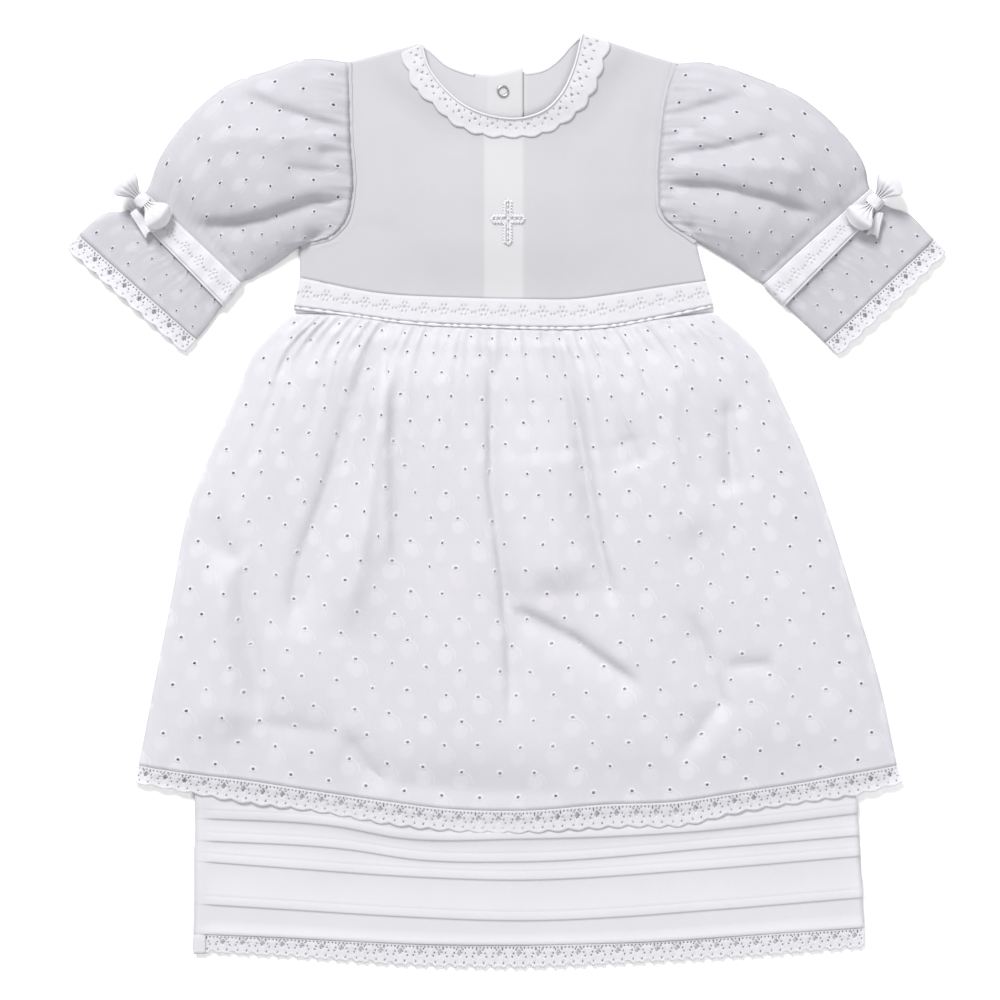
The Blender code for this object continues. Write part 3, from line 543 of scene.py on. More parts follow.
def eyelet_cotton(name, colour, petal_colour):
    """Machine-embroidered cotton lawn: under each eyelet a filled petal, lighter and a
    little raised, with a stitched stem that curves from the eyelet round its side."""
    material, tree, shader, tint, cross, bump = cloth_material(name, colour, thin=0.48)
    uv = add(tree, "ShaderNodeSeparateXYZ", add(tree, "ShaderNodeUVMap"))
    v = add(tree, "SUBTRACT", uv.outputs["Y"], 0.5)
    row = add(tree, "FLOOR", v)
    odd = add(tree, "MODULO", add(tree, "ADD", row, 20.0), 2.0)
    u = add(tree, "ADD", uv.outputs["X"], add(tree, "MULTIPLY_ADD", odd, -0.5, 1.0))
    x = add(tree, "MULTIPLY", add(tree, "SUBTRACT", add(tree, "FRACT", u), 0.5), CELL[0])
    y = add(tree, "MULTIPLY", add(tree, "FRACT", v), CELL[1])
    cell = add(tree, "ShaderNodeCombineXYZ", add(tree, "FLOOR", u), row)
    chance = add(tree, "ShaderNodeTexWhiteNoise", settings={"noise_dimensions": "2D"}, Vector=cell)
    strong = add(tree, "ShaderNodeMapRange", chance, **limits(0, 1, 0.15, 1))
    wide = add(tree, "DIVIDE", x, 4.9)
    deep = add(tree, "DIVIDE", add(tree, "SUBTRACT", y, 6.2), 5.6)
    petal = add(tree, "ShaderNodeMapRange", add(tree, "SQRT", squares(tree, wide, deep)),
                settings=SMOOTH, **limits(0.7, 1.15, 1, 0))
    filled = add(tree, "MULTIPLY", petal, strong)
    arc = squares(tree, add(tree, "ADD", x, 0.5), add(tree, "SUBTRACT", y, 7.0))
    ring = add(tree, "ABSOLUTE", add(tree, "SUBTRACT", add(tree, "SQRT", arc), 7.2))
    on_ring = add(tree, "ShaderNodeMapRange", ring, **limits(0.15, 0.45, 1, 0))
    some = add(tree, "GREATER_THAN", chance, 0.55)
    part = add(tree, "MULTIPLY", add(tree, "GREATER_THAN", x, -0.3), add(tree, "LESS_THAN", y, 7.4))
    stem = add(tree, "MULTIPLY", add(tree, "MULTIPLY", on_ring, some), part)
    aside = add(tree, "SUBTRACT", CELL[0] / 2, add(tree, "ABSOLUTE", x))
    above = add(tree, "SUBTRACT", CELL[1], y)
    nearest = add(tree, "MINIMUM", squares(tree, x, y), squares(tree, aside, above))
    rim = add(tree, "ShaderNodeMapRange", add(tree, "SQRT", nearest), settings=SMOOTH,
              **limits(1.7, 2.3, 1, 0))
    raised = add(tree, "MULTIPLY_ADD", filled, 0.8, add(tree, "MULTIPLY_ADD", stem, 1.2, cross))
    drawn = add(tree, "MAXIMUM", stem, rim)
    bright = add(tree, "MINIMUM", add(tree, "MULTIPLY_ADD", filled, 0.6, drawn), 1.0)
    second_colour(tree, shader, tint, bright, petal_colour)
    tree.links.new(raised.outputs[0], bump.inputs["Height"])
    return material


def lace_cotton():
    """Bobbin lace of soft cotton thread: slanting plaited threads, matt with a little
    gloss, 0.8 mm apart so that they show."""
    material, tree, _, _, _, bump = cloth_material("cotton_bobbin_lace", "#F0F0F3", 0.6, 0.1, thin=0.5)
    x, y = add(tree, "ShaderNodeSeparateXYZ", add(tree, "ShaderNodeUVMap")).outputs[:2]
    turns = 2 * math.pi / 1.1
    threads = [add(tree, "MULTIPLY", add(tree, way, x, y), turns) for way in ("ADD", "SUBTRACT")]
    plait = add(tree, "MULTIPLY", *(add(tree, "SINE", thread) for thread in threads))
    tree.links.new(plait.outputs[0], bump.inputs["Height"])
    bump.inputs["Strength"].default_value = 0.25
    bump.inputs["Distance"].default_value = 0.0002
    return material


def satin():
    """Polyester satin ribbon: smooth floats that throw soft bright highlights."""
    material, _, shader, *_ = cloth_material(
        "white_satin_ribbon", "#DEDEE2", rough=0.3, sheen=0.2, thread=0.8, weave=0.05, mottle=0.01,
        thin=0.2)
    shader.inputs["Specular IOR Level"].default_value = 0.6
    return material


def embroidery():
    """Mercerised cotton thread: lustrous round stitches."""
    return cloth_material("mercerised_thread", "#EFEFF2", rough=0.5, sheen=0.2, thread=0.9,
                          weave=0.3)[0]


def nickel():
    """Nickel-plated brass of a press stud: bright, with fine wear."""
    material = bpy.data.materials.new("nickel_plated_brass")
    material.use_nodes = True
    tree = material.node_tree
    shader = tree.nodes["Principled BSDF"]
    shader.inputs["Base Color"].default_value = linear("#B9B9BC")
    shader.inputs["Metallic"].default_value = 1.0
    place = add(tree, "ShaderNodeTexCoord").outputs["Object"]
    wear = add(tree, "ShaderNodeTexNoise", Vector=place, Scale=900.0)
    rough = add(tree, "ShaderNodeMapRange", wear.outputs["Fac"], **limits(0, 1, 0.18, 0.38))
    tree.links.new(rough.outputs[0], shader.inputs["Roughness"])
    return material


BATISTE, LACE, SATIN = batiste(), lace_cotton(), satin()
EYELET = eyelet_cotton("eyelet_cotton_lawn", "#EAE9ED", "#F8F7FA")
EYELET_SLEEVE = eyelet_cotton("single_eyelet_cotton_lawn", "#DCDBE0", "#EDECF1")
# The sheer cloth's grey, darker than plain batiste, is painted shade: the shade under the bodice seen
# through it. Its lighter stripe is painted light.
SHEER = batiste_with_painted_light_stripe("sheer_cotton_batiste_with_painted_shade_and_light", "#CECDD1", "#DADADC", -0.0145, 0.0100)
# The back halves' lighter stripe is painted light for their doubled button band.
PLACKET = batiste_with_painted_light_stripe("cotton_batiste_with_painted_placket_light", "#D1D0D4", "#D8D8DA", -0.0125, 0.0120)
THREAD, NICKEL = embroidery(), nickel()


# ---------------------------------------------------------------- heights
def neck_rise(x, y):
    return (LEVEL + 0.1) * (1 - ramp(away(x, y, NECK_BACK), 21, 36))


def placket_rise(x):
    return LEVEL * (ramp(x, -44, -18) - ramp(x, 16, 44))


def lap_rise(x):
    return LEVEL * ramp(x, LAP_START, LAP_START + 5)


def bodice_low(x, y):
    """Underside of the bodice front's solid."""
    swell = 2.2 * ramp(y, 130, 165) * (1 - ramp(y, 185, 235)) * (1 - ramp(np.abs(x), 40, 96))
    clear = 1.2 * (1 - ramp(away(x, y, NECK_BACK), 25, 45))
    return LEVEL + neck_rise(x, y) + placket_rise(x) + swell + clear


def inward(x, y):
    """How far inside the overskirt's nearer side."""
    return np.minimum(away(x, y, SKIRT_LEFT), away(x, y, SKIRT_RIGHT))


def past_hem(x, y):
    """How far below the overskirt's hem."""
    return y_at(HEM, x) - y


def skirt_low(x, y):
    """Underside of the overskirt front's solid, without its creases."""
    side = inward(x, y)
    waist = away(x, y, WAIST_BOTTOM)
    over = ramp(side, 0, 13) * ramp(waist, 2, 12)
    return LEVEL + 2 * LEVEL * over + 3.0 * ramp(side, 4, 40) * ramp(waist, 4, 40)


def under_low(x, y, layer):
    return LEVEL * ramp(y - y_at(HEM_LACE, x), -14, -2) + (LEVEL + 0.1) * layer


def pleats(u, v, seed, count=40, tall=3.2):
    """Gathers below the waist: narrow ridges at uneven places, each with its own width
    and length, leaning a little, standing tallest just under the seam."""
    rng = np.random.default_rng(seed)
    places = (np.arange(count) + 0.5 + rng.uniform(-0.35, 0.35, count)) / count
    total = 0.0
    for spot in places:
        half, reach = rng.uniform(0.0035, 0.0085), rng.uniform(0.05, 0.26)
        lean, high = rng.uniform(-0.05, 0.05), rng.uniform(0.5, 1.0)
        d = (u - spot - lean * v) / (half * (1 + 4 * v))
        total = total + tall * high * np.exp(-d * d) * np.exp(-v / reach)
    return total * ramp(v, -0.01, 0.02) * np.minimum(1, 14 * np.minimum(u, 1 - u))


# ---------------------------------------------------------------- skirts
SKIRT_TOP = np.asarray(WAIST_BOTTOM, float) - (0, 0.3)
SKIRT_TOP[0], SKIRT_TOP[-1] = SKIRT_LEFT[0], SKIRT_RIGHT[0]
skirt_place = between_edges(SKIRT_TOP, HEM, SKIRT_LEFT, SKIRT_RIGHT)


def skirt_top(x, y):
    """Height of the overskirt front's cloth: its solid's, with all its creases. Over the
    last 45 mm it sinks 3.4 mm, so that the hem lies down on the underskirt."""
    side = inward(x, y)
    relief = 2.0 * creases(x, y, SKIRT_FOLDS) * ramp(side, 2, 26)
    relief = relief + 0.9 * wave(x, y, 70, 3) * ramp(side, 4, 40)
    relief = relief * (0.45 + 0.55 * ramp(y, -196, -168))
    inner = ramp(side, 6, 40) * ramp(away(x, y, WAIST_BOTTOM), 6, 40)
    sunk = 3.4 * ramp(past_hem(x, y), -45, 0) * ramp(side, 6, 40)
    base = skirt_low(x, y) + 1.4 * inner - sunk
    return np.maximum(base + relief, base - 4.9 * inner) + WALL


def drifted(u, v, seed, most=0.008):
    """The cloth shifted in its own plane by slow waves, most near the gathers and not at
    all at its edges: the rows of eyelets wander as they do in gathered cloth."""
    inside = np.minimum(1, 12 * np.minimum(u, 1 - u)) * np.minimum(1, 9 * np.minimum(v, 1 - v))
    more = most * inside * (0.5 + 1.1 * np.exp(-v / 0.3))
    return u + more * wave(u * 480, v * 310, 42, seed), v + more * wave(u * 480, v * 310, 36, seed + 1)


def overskirt_front(u, v):
    u, v = drifted(u, v, 60)
    x, y = skirt_place(u, v)
    z = skirt_top(x, y) + pleats(u, v, 5) + placket_rise(x) * np.exp(-v / 0.05)
    side = np.abs(u - 0.022)
    z = z + 0.5 * np.exp(-(side * 420 / 1.2) ** 2) * ramp(v, 0.1, 0.3)
    return np.stack((x, y, z), axis=-1)


def overskirt_back(u, v):
    """The same outline, lying flat: shallow gathers pressed up into the cloth."""
    x, y = skirt_place(u, v)
    shallow = np.minimum(0.45, 0.35 * pleats(u, v, 11) + 0.2 * np.abs(wave(x, y, 60, 8)))
    return np.stack((x, y, 0.46 + shallow * ramp(np.minimum(u, 1 - u), 0, 0.03)), axis=-1)


def skirts():
    front = eyelet_cloth("overskirt_front_cloth", overskirt_front, (20, 20), (10, 6), EYELET)
    stand_in(front, "overskirt_front")
    back = eyelet_cloth("overskirt_back_cloth", overskirt_back, (20, 20), (6, 4), EYELET, up=False)
    stand_in(back, "overskirt_back")

    def on_front(t, x, y):
        return skirt_top(x, y) + 0.1 - 1.6 * ramp(past_hem(x, y), 0, 10)

    drop = np.asarray(HEM, float) - (0, 0.1)
    for side, height, rests in (("front", on_front, ["underskirt_front"]), ("back", on_floor, [])):
        work = lace(f"overskirt_lace_{side}_work", along_path(drop), along_path(HEM_LACE), height,
                    up=side == "front")
        finish_lace(work, f"overskirt_lace_{side}")
    underskirts()


def on_floor(t, x, y):
    return ON_FLOOR + 0 * x


def finish_lace(piece, node):
    stand_in(piece, node)


def follow(x, y, low):
    """The underskirt's height where the overskirt covers it: it comes up to 1.2 mm below
    the overskirt's cloth and follows its creases."""
    side = inward(x, y)
    covered = ramp(-past_hem(x, y), 4, 30) * ramp(side, 6, 30) * (1 - ramp(y, 80, 98))
    return low + covered * np.maximum(skirt_top(x, y) - 1.2 - low, 0)


def underskirts():
    """Each tuck is a pleat that hangs down: a stitched groove, a slow rise to its folded
    edge, and a step down. The tucks flatten in the left side seam's strip."""
    across = np.linspace(0, 1, 121)
    hem = smooth_path(UNDER_HEM, across)
    folds = [smooth_path(t, across) for t in TUCKS]
    side = between_edges(UNDER_TOP, TUCKS[0], UNDER_LEFT[:5] + TUCKS[0][:1], UNDER_RIGHT[:6])
    rows = [(np.stack(side(across, 0 * across + k / 90), axis=-1), 0.0) for k in range(88)]
    for fold in folds:
        rows += [(fold + (0, y), z) for y, z in
                 ((7.5, 0.0), (6.0, 0.4), (5.6, 0.3), (5.2, 0.42), (3, 0.65), (1, 0.75), (0.3, 0.68),
                  (0.0, 0.45), (-0.15, 0.2), (-0.6, 0.04), (-1.8, 0.0))]
    rows += [(0.5 * folds[-1] + 0.5 * hem, 0.0), (hem + (0, 3.4), 0.0), (hem + (0, 3.0), 0.35),
             (hem + (0, 0.4), 0.35), (hem, 0.1)]
    line = np.array([row[0] for row in rows])
    rise = np.array([row[1] for row in rows])[:, None]
    x, y = line[..., 0], line[..., 1]
    gentle = 0.35 * wave(x, y, 80, 21) + 0.35
    strip = x - x[:, :1]
    seam = 0.4 * np.exp(-((strip - 7) / 1.2) ** 2)
    z = (follow(x, y, under_low(x, y, 1) + 0.35) + rise * (0.16 + 1.1 * ramp(strip, 6, 11))
         + np.clip(gentle, 0, 0.5) + seam)
    front = grid_piece("underskirt_front_cloth", np.stack((x, y, z), axis=-1), BATISTE, thick=0.2)
    stand_in(front, "underskirt_front")
    u, v = np.meshgrid(np.linspace(0, 1, 9), np.linspace(0, 1, 9))
    high = LEVEL + 1.15 * ramp(v, 0, 0.4) + 0.25 * np.sin(math.pi * u) - 0.1
    fold = np.stack((-196 + 7.6 * u, -270 - 15.5 * v, high), axis=-1)
    fold = grid_piece("underskirt_side_fold", fold, BATISTE, thick=0.3)
    place = between_edges(UNDER_TOP, UNDER_HEM, UNDER_LEFT, UNDER_RIGHT)

    def under_back(u, v):
        a, b = place(u, v)
        return np.stack((a, b, under_low(a, b, 0) + 0.02 + 0 * a), axis=-1)

    back = plain_cloth("underskirt_back_cloth", under_back, 60, 60, BATISTE, (420, 400), up=False)
    stand_in(back, "underskirt_back")
    drop = np.asarray(UNDER_HEM, float) - (0, 0.1)
    for name, level in (("front", LEVEL + 0.5), ("back", ON_FLOOR)):
        work = lace(f"underskirt_lace_{name}_work", along_path(drop), along_path(UNDER_LACE),
                    lambda t, a, b, k=level: k + 0 * a, picot=1.2, up=name == "front")
        finish_lace(work, f"underskirt_lace_{name}")


# ---------------------------------------------------------------- bodice and neck
def bodice_edges():
    waist = np.asarray(WAIST_TOP, float) + (0, 0.3)
    front, back = sampled(NECK_FRONT), sampled(NECK_BACK)
    tops = []
    for neck in (front, back):
        left = np.linspace(SHOULDER_LEFT, neck[0], 12)[:-1]
        right = np.linspace(neck[-1], SHOULDER_RIGHT, 12)[1:]
        tops.append((left, neck, right))
    return waist, tops


def arm_side(arm, corner):
    """The armhole, then straight down the side seam."""
    arm = sampled(arm, 40)
    return np.concatenate((arm, np.linspace(arm[-1], corner, 8)[1:]))


def armhole_seam(side, arm, high):
    """The stitched seam that covers the joint of sleeve and bodice: a low rounded strip
    3.4 mm wide that swells a little at each gather."""
    line = sampled(arm, 160)
    across = np.linspace(-1, 1, 9)[:, None, None]
    normal = offset(line, 1.0) - line
    swell = 1.7 + 0.15 * np.sin(np.linspace(0, 60, len(line)))
    sheet = line[None] + normal[None] * across * swell[None, :, None]
    x, y = sheet[..., 0], sheet[..., 1]
    z = high(x, y) + 0.5 * np.sqrt(np.clip(1 - across[..., 0] ** 2, 0, 1)) - 0.2
    piece = grid_piece(f"armhole_seam_{side}", np.stack((x, y, z), axis=-1), SHEER, thick=0.3)
    return piece


def seamed(x, y):
    """Ridges of the turned seam allowances beside the two armholes."""
    d = np.minimum(np.abs(away(x, y, ARMHOLE_LEFT) - 4.5), np.abs(away(x, y, ARMHOLE_RIGHT) - 4.5))
    return 0.25 * np.exp(-(d / 0.9) ** 2)


BODICE_FOLDS = (
    (-1.3, 9, 9, ((64, 262), (54, 246), (38, 232))),
    (-0.9, 8, 8, ((-58, 250), (-40, 234), (-22, 228))),
    (0.8, 12, 12, ((84, 250), (78, 215), (80, 180))),
    (-0.8, 10, 10, ((-84, 170), (-70, 150), (-50, 142))),
    (0.7, 14, 14, ((-74, 240), (-70, 200), (-78, 165))),
    (-0.7, 8, 8, ((92, 168), (76, 152), (60, 142))),
)


def bodice():
    waist, tops = bodice_edges()
    left, right = arm_side(ARMHOLE_LEFT, waist[0]), arm_side(ARMHOLE_RIGHT, waist[-1])
    front_place = between_edges(np.concatenate(tops[0]), waist - (0, 2.3), left, right)

    def bodice_front(u, v):
        x, y = front_place(u, v)
        low = bodice_low(x, y)
        z = low + 0.55 + 0.25 * wave(x, y, 60, 2) + creases(x, y, BODICE_FOLDS) + seamed(x, y)
        return np.stack((x, y, np.maximum(z, low + THICK)), axis=-1)

    front = plain_cloth("bodice_front_cloth", bodice_front, 120, 80, SHEER, (255, 160))
    stand_in(front, "bodice_front")
    seams = [armhole_seam(side, arm, lambda x, y: bodice_low(x, y) + 0.9)
             for side, arm in (("left", ARMHOLE_LEFT), ("right", ARMHOLE_RIGHT))]
    halves = {
        "left": (np.concatenate((tops[1][0], between(tops[1][1], -99, LAP_END))),
                 between(waist, -130, LAP_END)),
        "right": (np.concatenate((between(tops[1][1], LAP_EDGE, 120), tops[1][2])),
                  between(waist, LAP_EDGE, 130)),
    }
    for side, (top, seam) in halves.items():
        end = -1 if side == "left" else 0
        centre = np.linspace(top[end], seam[end], 20)
        edges = (left, centre) if side == "left" else (centre, right)
        place = between_edges(top, seam, *edges)

        def half(u, v, spot=place, own=side):
            x, y = spot(u, v)
            z = neck_rise(x, y) + 0.62 + seamed(x, y) + 0.12 * wave(x, y, 50, 4)
            if own == "left":
                z = z + lap_rise(x)
                y = y + 2.6 * ramp(x, LAP_START + 6, LAP_END) * ramp(y, 245, 268)
            return np.stack((x, y, z), axis=-1)

        piece = plain_cloth(f"bodice_back_{side}_cloth", half, 80, 70, PLACKET, (140, 165))
        stand_in(piece, f"bodice_back_{side}")
    neck()


def neck():
    front = sampled(NECK_FRONT, 120)
    work = lace("neck_lace_front_work", along_path(front), along_path(LACE_OUTER),
                lambda t, x, y: bodice_low(x, y) + 1.2, opened=neck_open, wide=13.0)
    edge = binding("front", front, lambda x, y: bodice_low(x, y) + 1.55, 1.3)
    finish_lace(work, "neck_lace_front")
    back = sampled(NECK_BACK, 120)
    for side, start, end, edge_start, edge_end in (("left", -99, LAP_EDGE - 1, -99, LAP_START - 1),
                                                   ("right", 5.0, 99, LAP_END + 1, 99)):
        outer, inner = between(sampled(LACE_OUTER_BACK), start, end), between(back, start, end)
        work = lace(f"neck_lace_back_{side}_work", along_path(inner), along_path(outer), on_floor,
                    up=False)
        edge = binding(f"back_{side}", between(back, edge_start, edge_end),
                       lambda x, y: neck_rise(x, y) + 0.65, 2.2)
        finish_lace(work, f"neck_lace_back_{side}")


def binding(name, line, low, wide):
    """A fine rolled edge: half an ellipse this wide and 0.5 mm high on its cloth."""
    outer = offset(line, wide)
    across = np.linspace(0, 1, 9)[:, None, None]
    sheet = line[None] + (outer - line)[None] * across
    x, y = sheet[..., 0], sheet[..., 1]
    z = low(x, y) + 0.5 * np.sqrt(np.clip(1 - (2 * across[..., 0] - 1) ** 2, 0, 1))
    piece = grid_piece(f"neck_binding_{name}_strip", np.stack((x, y, z), axis=-1), SATIN, thick=0.3)
    return stand_in(piece, f"neck_binding_{name}")


# ---------------------------------------------------------------- waist
def waist():
    line = np.asarray(WAIST_BOTTOM, float)
    rib = line + (0, 2.1)
    for side, sign in (("front", 1), ("back", -1)):
        def height(t, x, y, k=sign):
            return bodice_low(x, y) + 1.05 if k > 0 else ON_FLOOR + 0 * x

        work = lace(f"waist_band_{side}_lace", along_path(WAIST_TOP), along_path(rib), height,
                    opened=band_open, scallop=0.0, up=sign > 0, wide=19.0, bulge=0.18)
        upper, under = np.asarray(WAIST_TOP, float) + (0, 0.5), line - (0, 0.5)
        backing_place = between_edges(upper, under, (upper[0], under[0]), (upper[-1], under[-1]))

        def backing(u, v, k=sign, spot=backing_place):
            x, y = spot(u, v)
            z = bodice_low(x, y) + 0.62 if k > 0 else 0.75 + 0 * x
            return np.stack((x, y, z), axis=-1)

        lining = plain_cloth(f"waist_band_{side}_lining", backing, 90, 8, BATISTE, (262, 20), 0.2,
                             sign > 0)
        stand_in(work, f"waist_band_{side}")
        laced = ribbon(side, line, sign)


def ribbon(side, line, sign):
    """Satin ribbon laced along the band's edge: it shows as a row of short raised
    floats, each a bulge between two stitches."""
    t = np.linspace(0, 1, 640)
    centre = smooth_path(line + (0, 0.9), t)
    phase = t * 38 + 0.35 * np.sin(2 * math.pi * t * 5) + 0.2 * np.sin(2 * math.pi * t * 13)
    bulge = np.abs(np.sin(math.pi * phase)) ** 0.7 * ramp(t * (1 - t), 0.0, 0.01)
    across = np.linspace(-1, 1, 7)[:, None]
    half = 0.25 + 0.95 * bulge
    x = np.broadcast_to(centre[:, 0], (7, len(t)))
    y = centre[:, 1] + across * half
    top = (0.05 + 1.0 * bulge) * np.sqrt(np.clip(1 - across**2, 0, 1))
    z = (bodice_low(x, y) + 1.0 + top) if sign > 0 else (0.75 - 0.4 * top)
    piece = grid_piece(f"waist_ribbon_{side}_laced", np.stack((x, y, z), axis=-1), SATIN,
                       thick=0.2, up=sign > 0)
    return stand_in(piece, f"waist_ribbon_{side}")


# ---------------------------------------------------------------- sleeves
def sleeve_shape(side):
    """place(s, t) and the heights of the upper wall and of its resting side."""
    first = 0 if side == "left" else 2
    knots = np.array(list(SLEEVE))
    upper = np.array([SLEEVE[k][first] for k in SLEEVE], float)
    lower = np.array([SLEEVE[k][first + 1] for k in SLEEVE], float)
    arm = sampled(ARMHOLE_LEFT if side == "left" else ARMHOLE_RIGHT, 40)
    arm = offset(arm, 0.8 if side == "left" else -0.8)
    upper[0], lower[0] = arm[0], arm[-1]
    sweep = (lower[-1] - upper[-1]) / np.linalg.norm(lower[-1] - upper[-1])
    hem_out = np.array((-sweep[1], sweep[0]))
    hem_out = -hem_out if hem_out[1] > 0 else hem_out

    def place(s, t):
        s, t = np.broadcast_arrays(np.asarray(s, float), np.asarray(t, float))
        held = np.clip(s, 0, 1)
        a, b = cubic(knots, upper, held), cubic(knots, lower, held)
        chord = arm[0] + (arm[-1] - arm[0]) * t[..., None]
        bow = smooth_path(arm, np.clip(t, 0, 1)) - chord
        xy = a + (b - a) * t[..., None] + bow * ((1 - held) ** 3)[..., None]
        xy = xy + hem_out * (np.maximum(s - 1, 0) * 100)[..., None]
        return xy[..., 0], xy[..., 1]

    def floor(s):
        return (LEVEL * ramp(s, BAND[0] - 0.03, BAND[0] - 0.012)
                * (1 - ramp(s, BAND[1] + 0.012, BAND[1] + 0.03)))

    def roof(s, t):
        inside = np.clip(t, 0, 1)
        puff = np.interp(s, *np.array(PUFF).T) * np.sin(math.pi * inside) ** 0.75
        return floor(s) + 2 * LEVEL + puff

    return place, floor, roof


def sleeve_gathers(s, t, seed):
    """Narrow pleats that start in the armhole's head and at the band, and die away."""
    rng = np.random.default_rng(seed)
    total = 0.0
    for spot in (np.arange(26) + 0.5 + rng.uniform(-0.35, 0.35, 26)) / 26:
        half, reach = rng.uniform(0.006, 0.014), rng.uniform(0.05, 0.16)
        high = rng.uniform(0.4, 1.0)
        d = (t - spot - rng.uniform(-0.15, 0.15) * s) / (half * (1 + 3 * s))
        total = total + 1.8 * high * np.exp(-d * d) * np.exp(-s / reach)
    for spot in (np.arange(18) + 0.5 + rng.uniform(-0.35, 0.35, 18)) / 18:
        half, high = rng.uniform(0.008, 0.018), rng.uniform(0.3, 1.0)
        above, below = BAND[0] - s, s - BAND[1]
        fade = np.where(s < 0.72, np.exp(-np.maximum(above, 0) / 0.07),
                        np.exp(-np.maximum(below, 0) / 0.12))
        d = (t - spot) / (half * (1 + 1.5 * np.maximum(above, below).clip(0)))
        total = total + 0.8 * high * np.exp(-d * d) * fade
    return total * np.sin(math.pi * np.clip(t, 0, 1)) ** 0.5


def sleeves():
    for side, seed in (("left", 31), ("right", 47)):
        place, floor, roof = sleeve_shape(side)

        def walls(u, v, own=side):
            """u runs from the underarm seam over the resting side to the upper contour
            and back over the upper side; v runs down the sleeve."""
            t = np.abs(1 - 2 * u)
            x, y = place(v, t)
            edge = np.sqrt(np.clip(t * (1 - t) / 0.03, 0, 1))
            middle = floor(v) + LEVEL
            top = roof(v, t) - LEVEL
            folded = (1.15 * creases(x, y, SLEEVE_FOLDS[own]) * ramp(t * (1 - t), 0.01, 0.1)
                      * ramp(v, 0.0, 0.1))
            fine = sleeve_gathers(v, t, seed) + 0.5 * wave(x, y, 45, seed) * ramp(v, 0.05, 0.2)
            dress = (folded + fine) * (1 - ramp(v, 0.64, 0.66) * (1 - ramp(v, 0.78, 0.80)))
            upper = middle + (top - middle + 1.0 + dress) * edge
            under = middle - (middle - floor(v) - 0.35) * edge
            z = np.where(u > 0.5, np.maximum(upper, floor(v) + 1.2), under)
            return np.stack((x, y, z), axis=-1)

        cloth = eyelet_cloth(f"sleeve_{side}_cloth", walls, (14, 11), (12, 6), EYELET_SLEEVE, 0.8,
                             (19.5, 15.0))
        stand_in(outward(cloth), f"sleeve_{side}")
        band(side, place, roof)
        cuff(side, place, roof)
        bow(side)


def outward(piece):
    """Turns a wall that folds over itself so that its upper side faces up."""
    mesh = piece.data
    normals, centres = np.empty((2, len(mesh.polygons) * 3))
    mesh.polygons.foreach_get("normal", normals)
    mesh.polygons.foreach_get("center", centres)
    high = centres.reshape(-1, 3)[:, 2] > 0.005
    if normals.reshape(-1, 3)[high, 2].sum() < 0:
        mesh.flip_normals()
    return piece


def tube_point(place, low, roof_z, s, turn, grow):
    """A ring round the flattened sleeve: turn 0..1 goes along the resting side and
    back over the upper side, grow millimetres outside the sleeve's own edges."""
    t = np.where(turn < 0.5, 2 * turn, 2 - 2 * turn)
    a, b = np.array(place(s, 0.0)), np.array(place(s, 1.0))
    width = np.linalg.norm(b - a)
    across = -grow / width + t * (1 + 2 * grow / width)
    x, y = place(s, across)
    edge = np.sqrt(np.clip(t * (1 - t) / 0.02, 0, 1))
    middle = 0.5 * low + 2 * LEVEL
    end = np.where(turn < 0.5, low, roof_z(s, np.clip(across, 0, 1)))
    z = middle + (end - middle) * edge
    return np.stack((x, y, z), axis=-1)


def band(side, place, roof):
    """Satin ribbon round the sleeve with lace on it; its two long edges stand out as
    bright folded rims."""
    turns = np.linspace(0, 1, 161)[:-1]
    rows = np.array([0.0, 0.04, 0.1, 0.3, 0.5, 0.7, 0.9, 0.96, 1.0])
    rim = np.array([-0.25, 0.3, 0.0, -0.05, -0.05, -0.05, 0.0, 0.3, -0.25])

    def over(rise):
        return lambda a, b: roof(a, b) + rise + 0.3 * np.sin(40 * b)

    points = [tube_point(place, ON_FLOOR - lift * 0.5, over(1.6 + lift), band_at(f), turns, 1.4)
              for f, lift in zip(rows, rim)]
    uv = np.stack(np.meshgrid(turns * 170, rows * 17), axis=-1)
    strip = grid_piece(f"sleeve_band_{side}_ribbon", np.array(points), SATIN, uv, 0.25, None, True)
    outward(strip)

    def edge_line(f):
        return lambda t: tube_point(place, 0.3, over(1.7), band_at(f), t % 1.0, 1.5)[..., :2]

    def height(t, x, y):
        return tube_point(place, 0.28, over(2.0), band_at(0.5), t % 1.0, 1.5)[..., 2]

    work = lace(f"sleeve_band_{side}_lace", edge_line(0.1), edge_line(0.9), height, opened=band_open,
                scallop=0.0, wide=15.0, whole=176.0, wrap=True, bulge=0.12)
    stand_in(outward(work), f"sleeve_band_{side}")


def band_at(f):
    """Along the sleeve, this share of the way across its band."""
    return BAND[0] + (BAND[1] - BAND[0]) * f


def cuff(side, place, roof):
    def edge_line(s):
        return lambda t: tube_point(place, 0.3, lambda a, b: roof(1.0, b), s, t % 1.0, 0.0)[..., :2]

    def height(t, x, y):
        return tube_point(place, 0.35, lambda a, b: roof(1.0, b) - 0.4, 1.0, t % 1.0, 0.0)[..., 2]

    work = lace(f"cuff_lace_{side}_work", edge_line(1.002), edge_line(1 + CUFF_LACE / 100), height,
                wide=12.0, whole=200.0, wrap=True, bulge=0.2)
    stand_in(outward(work), f"cuff_lace_{side}")


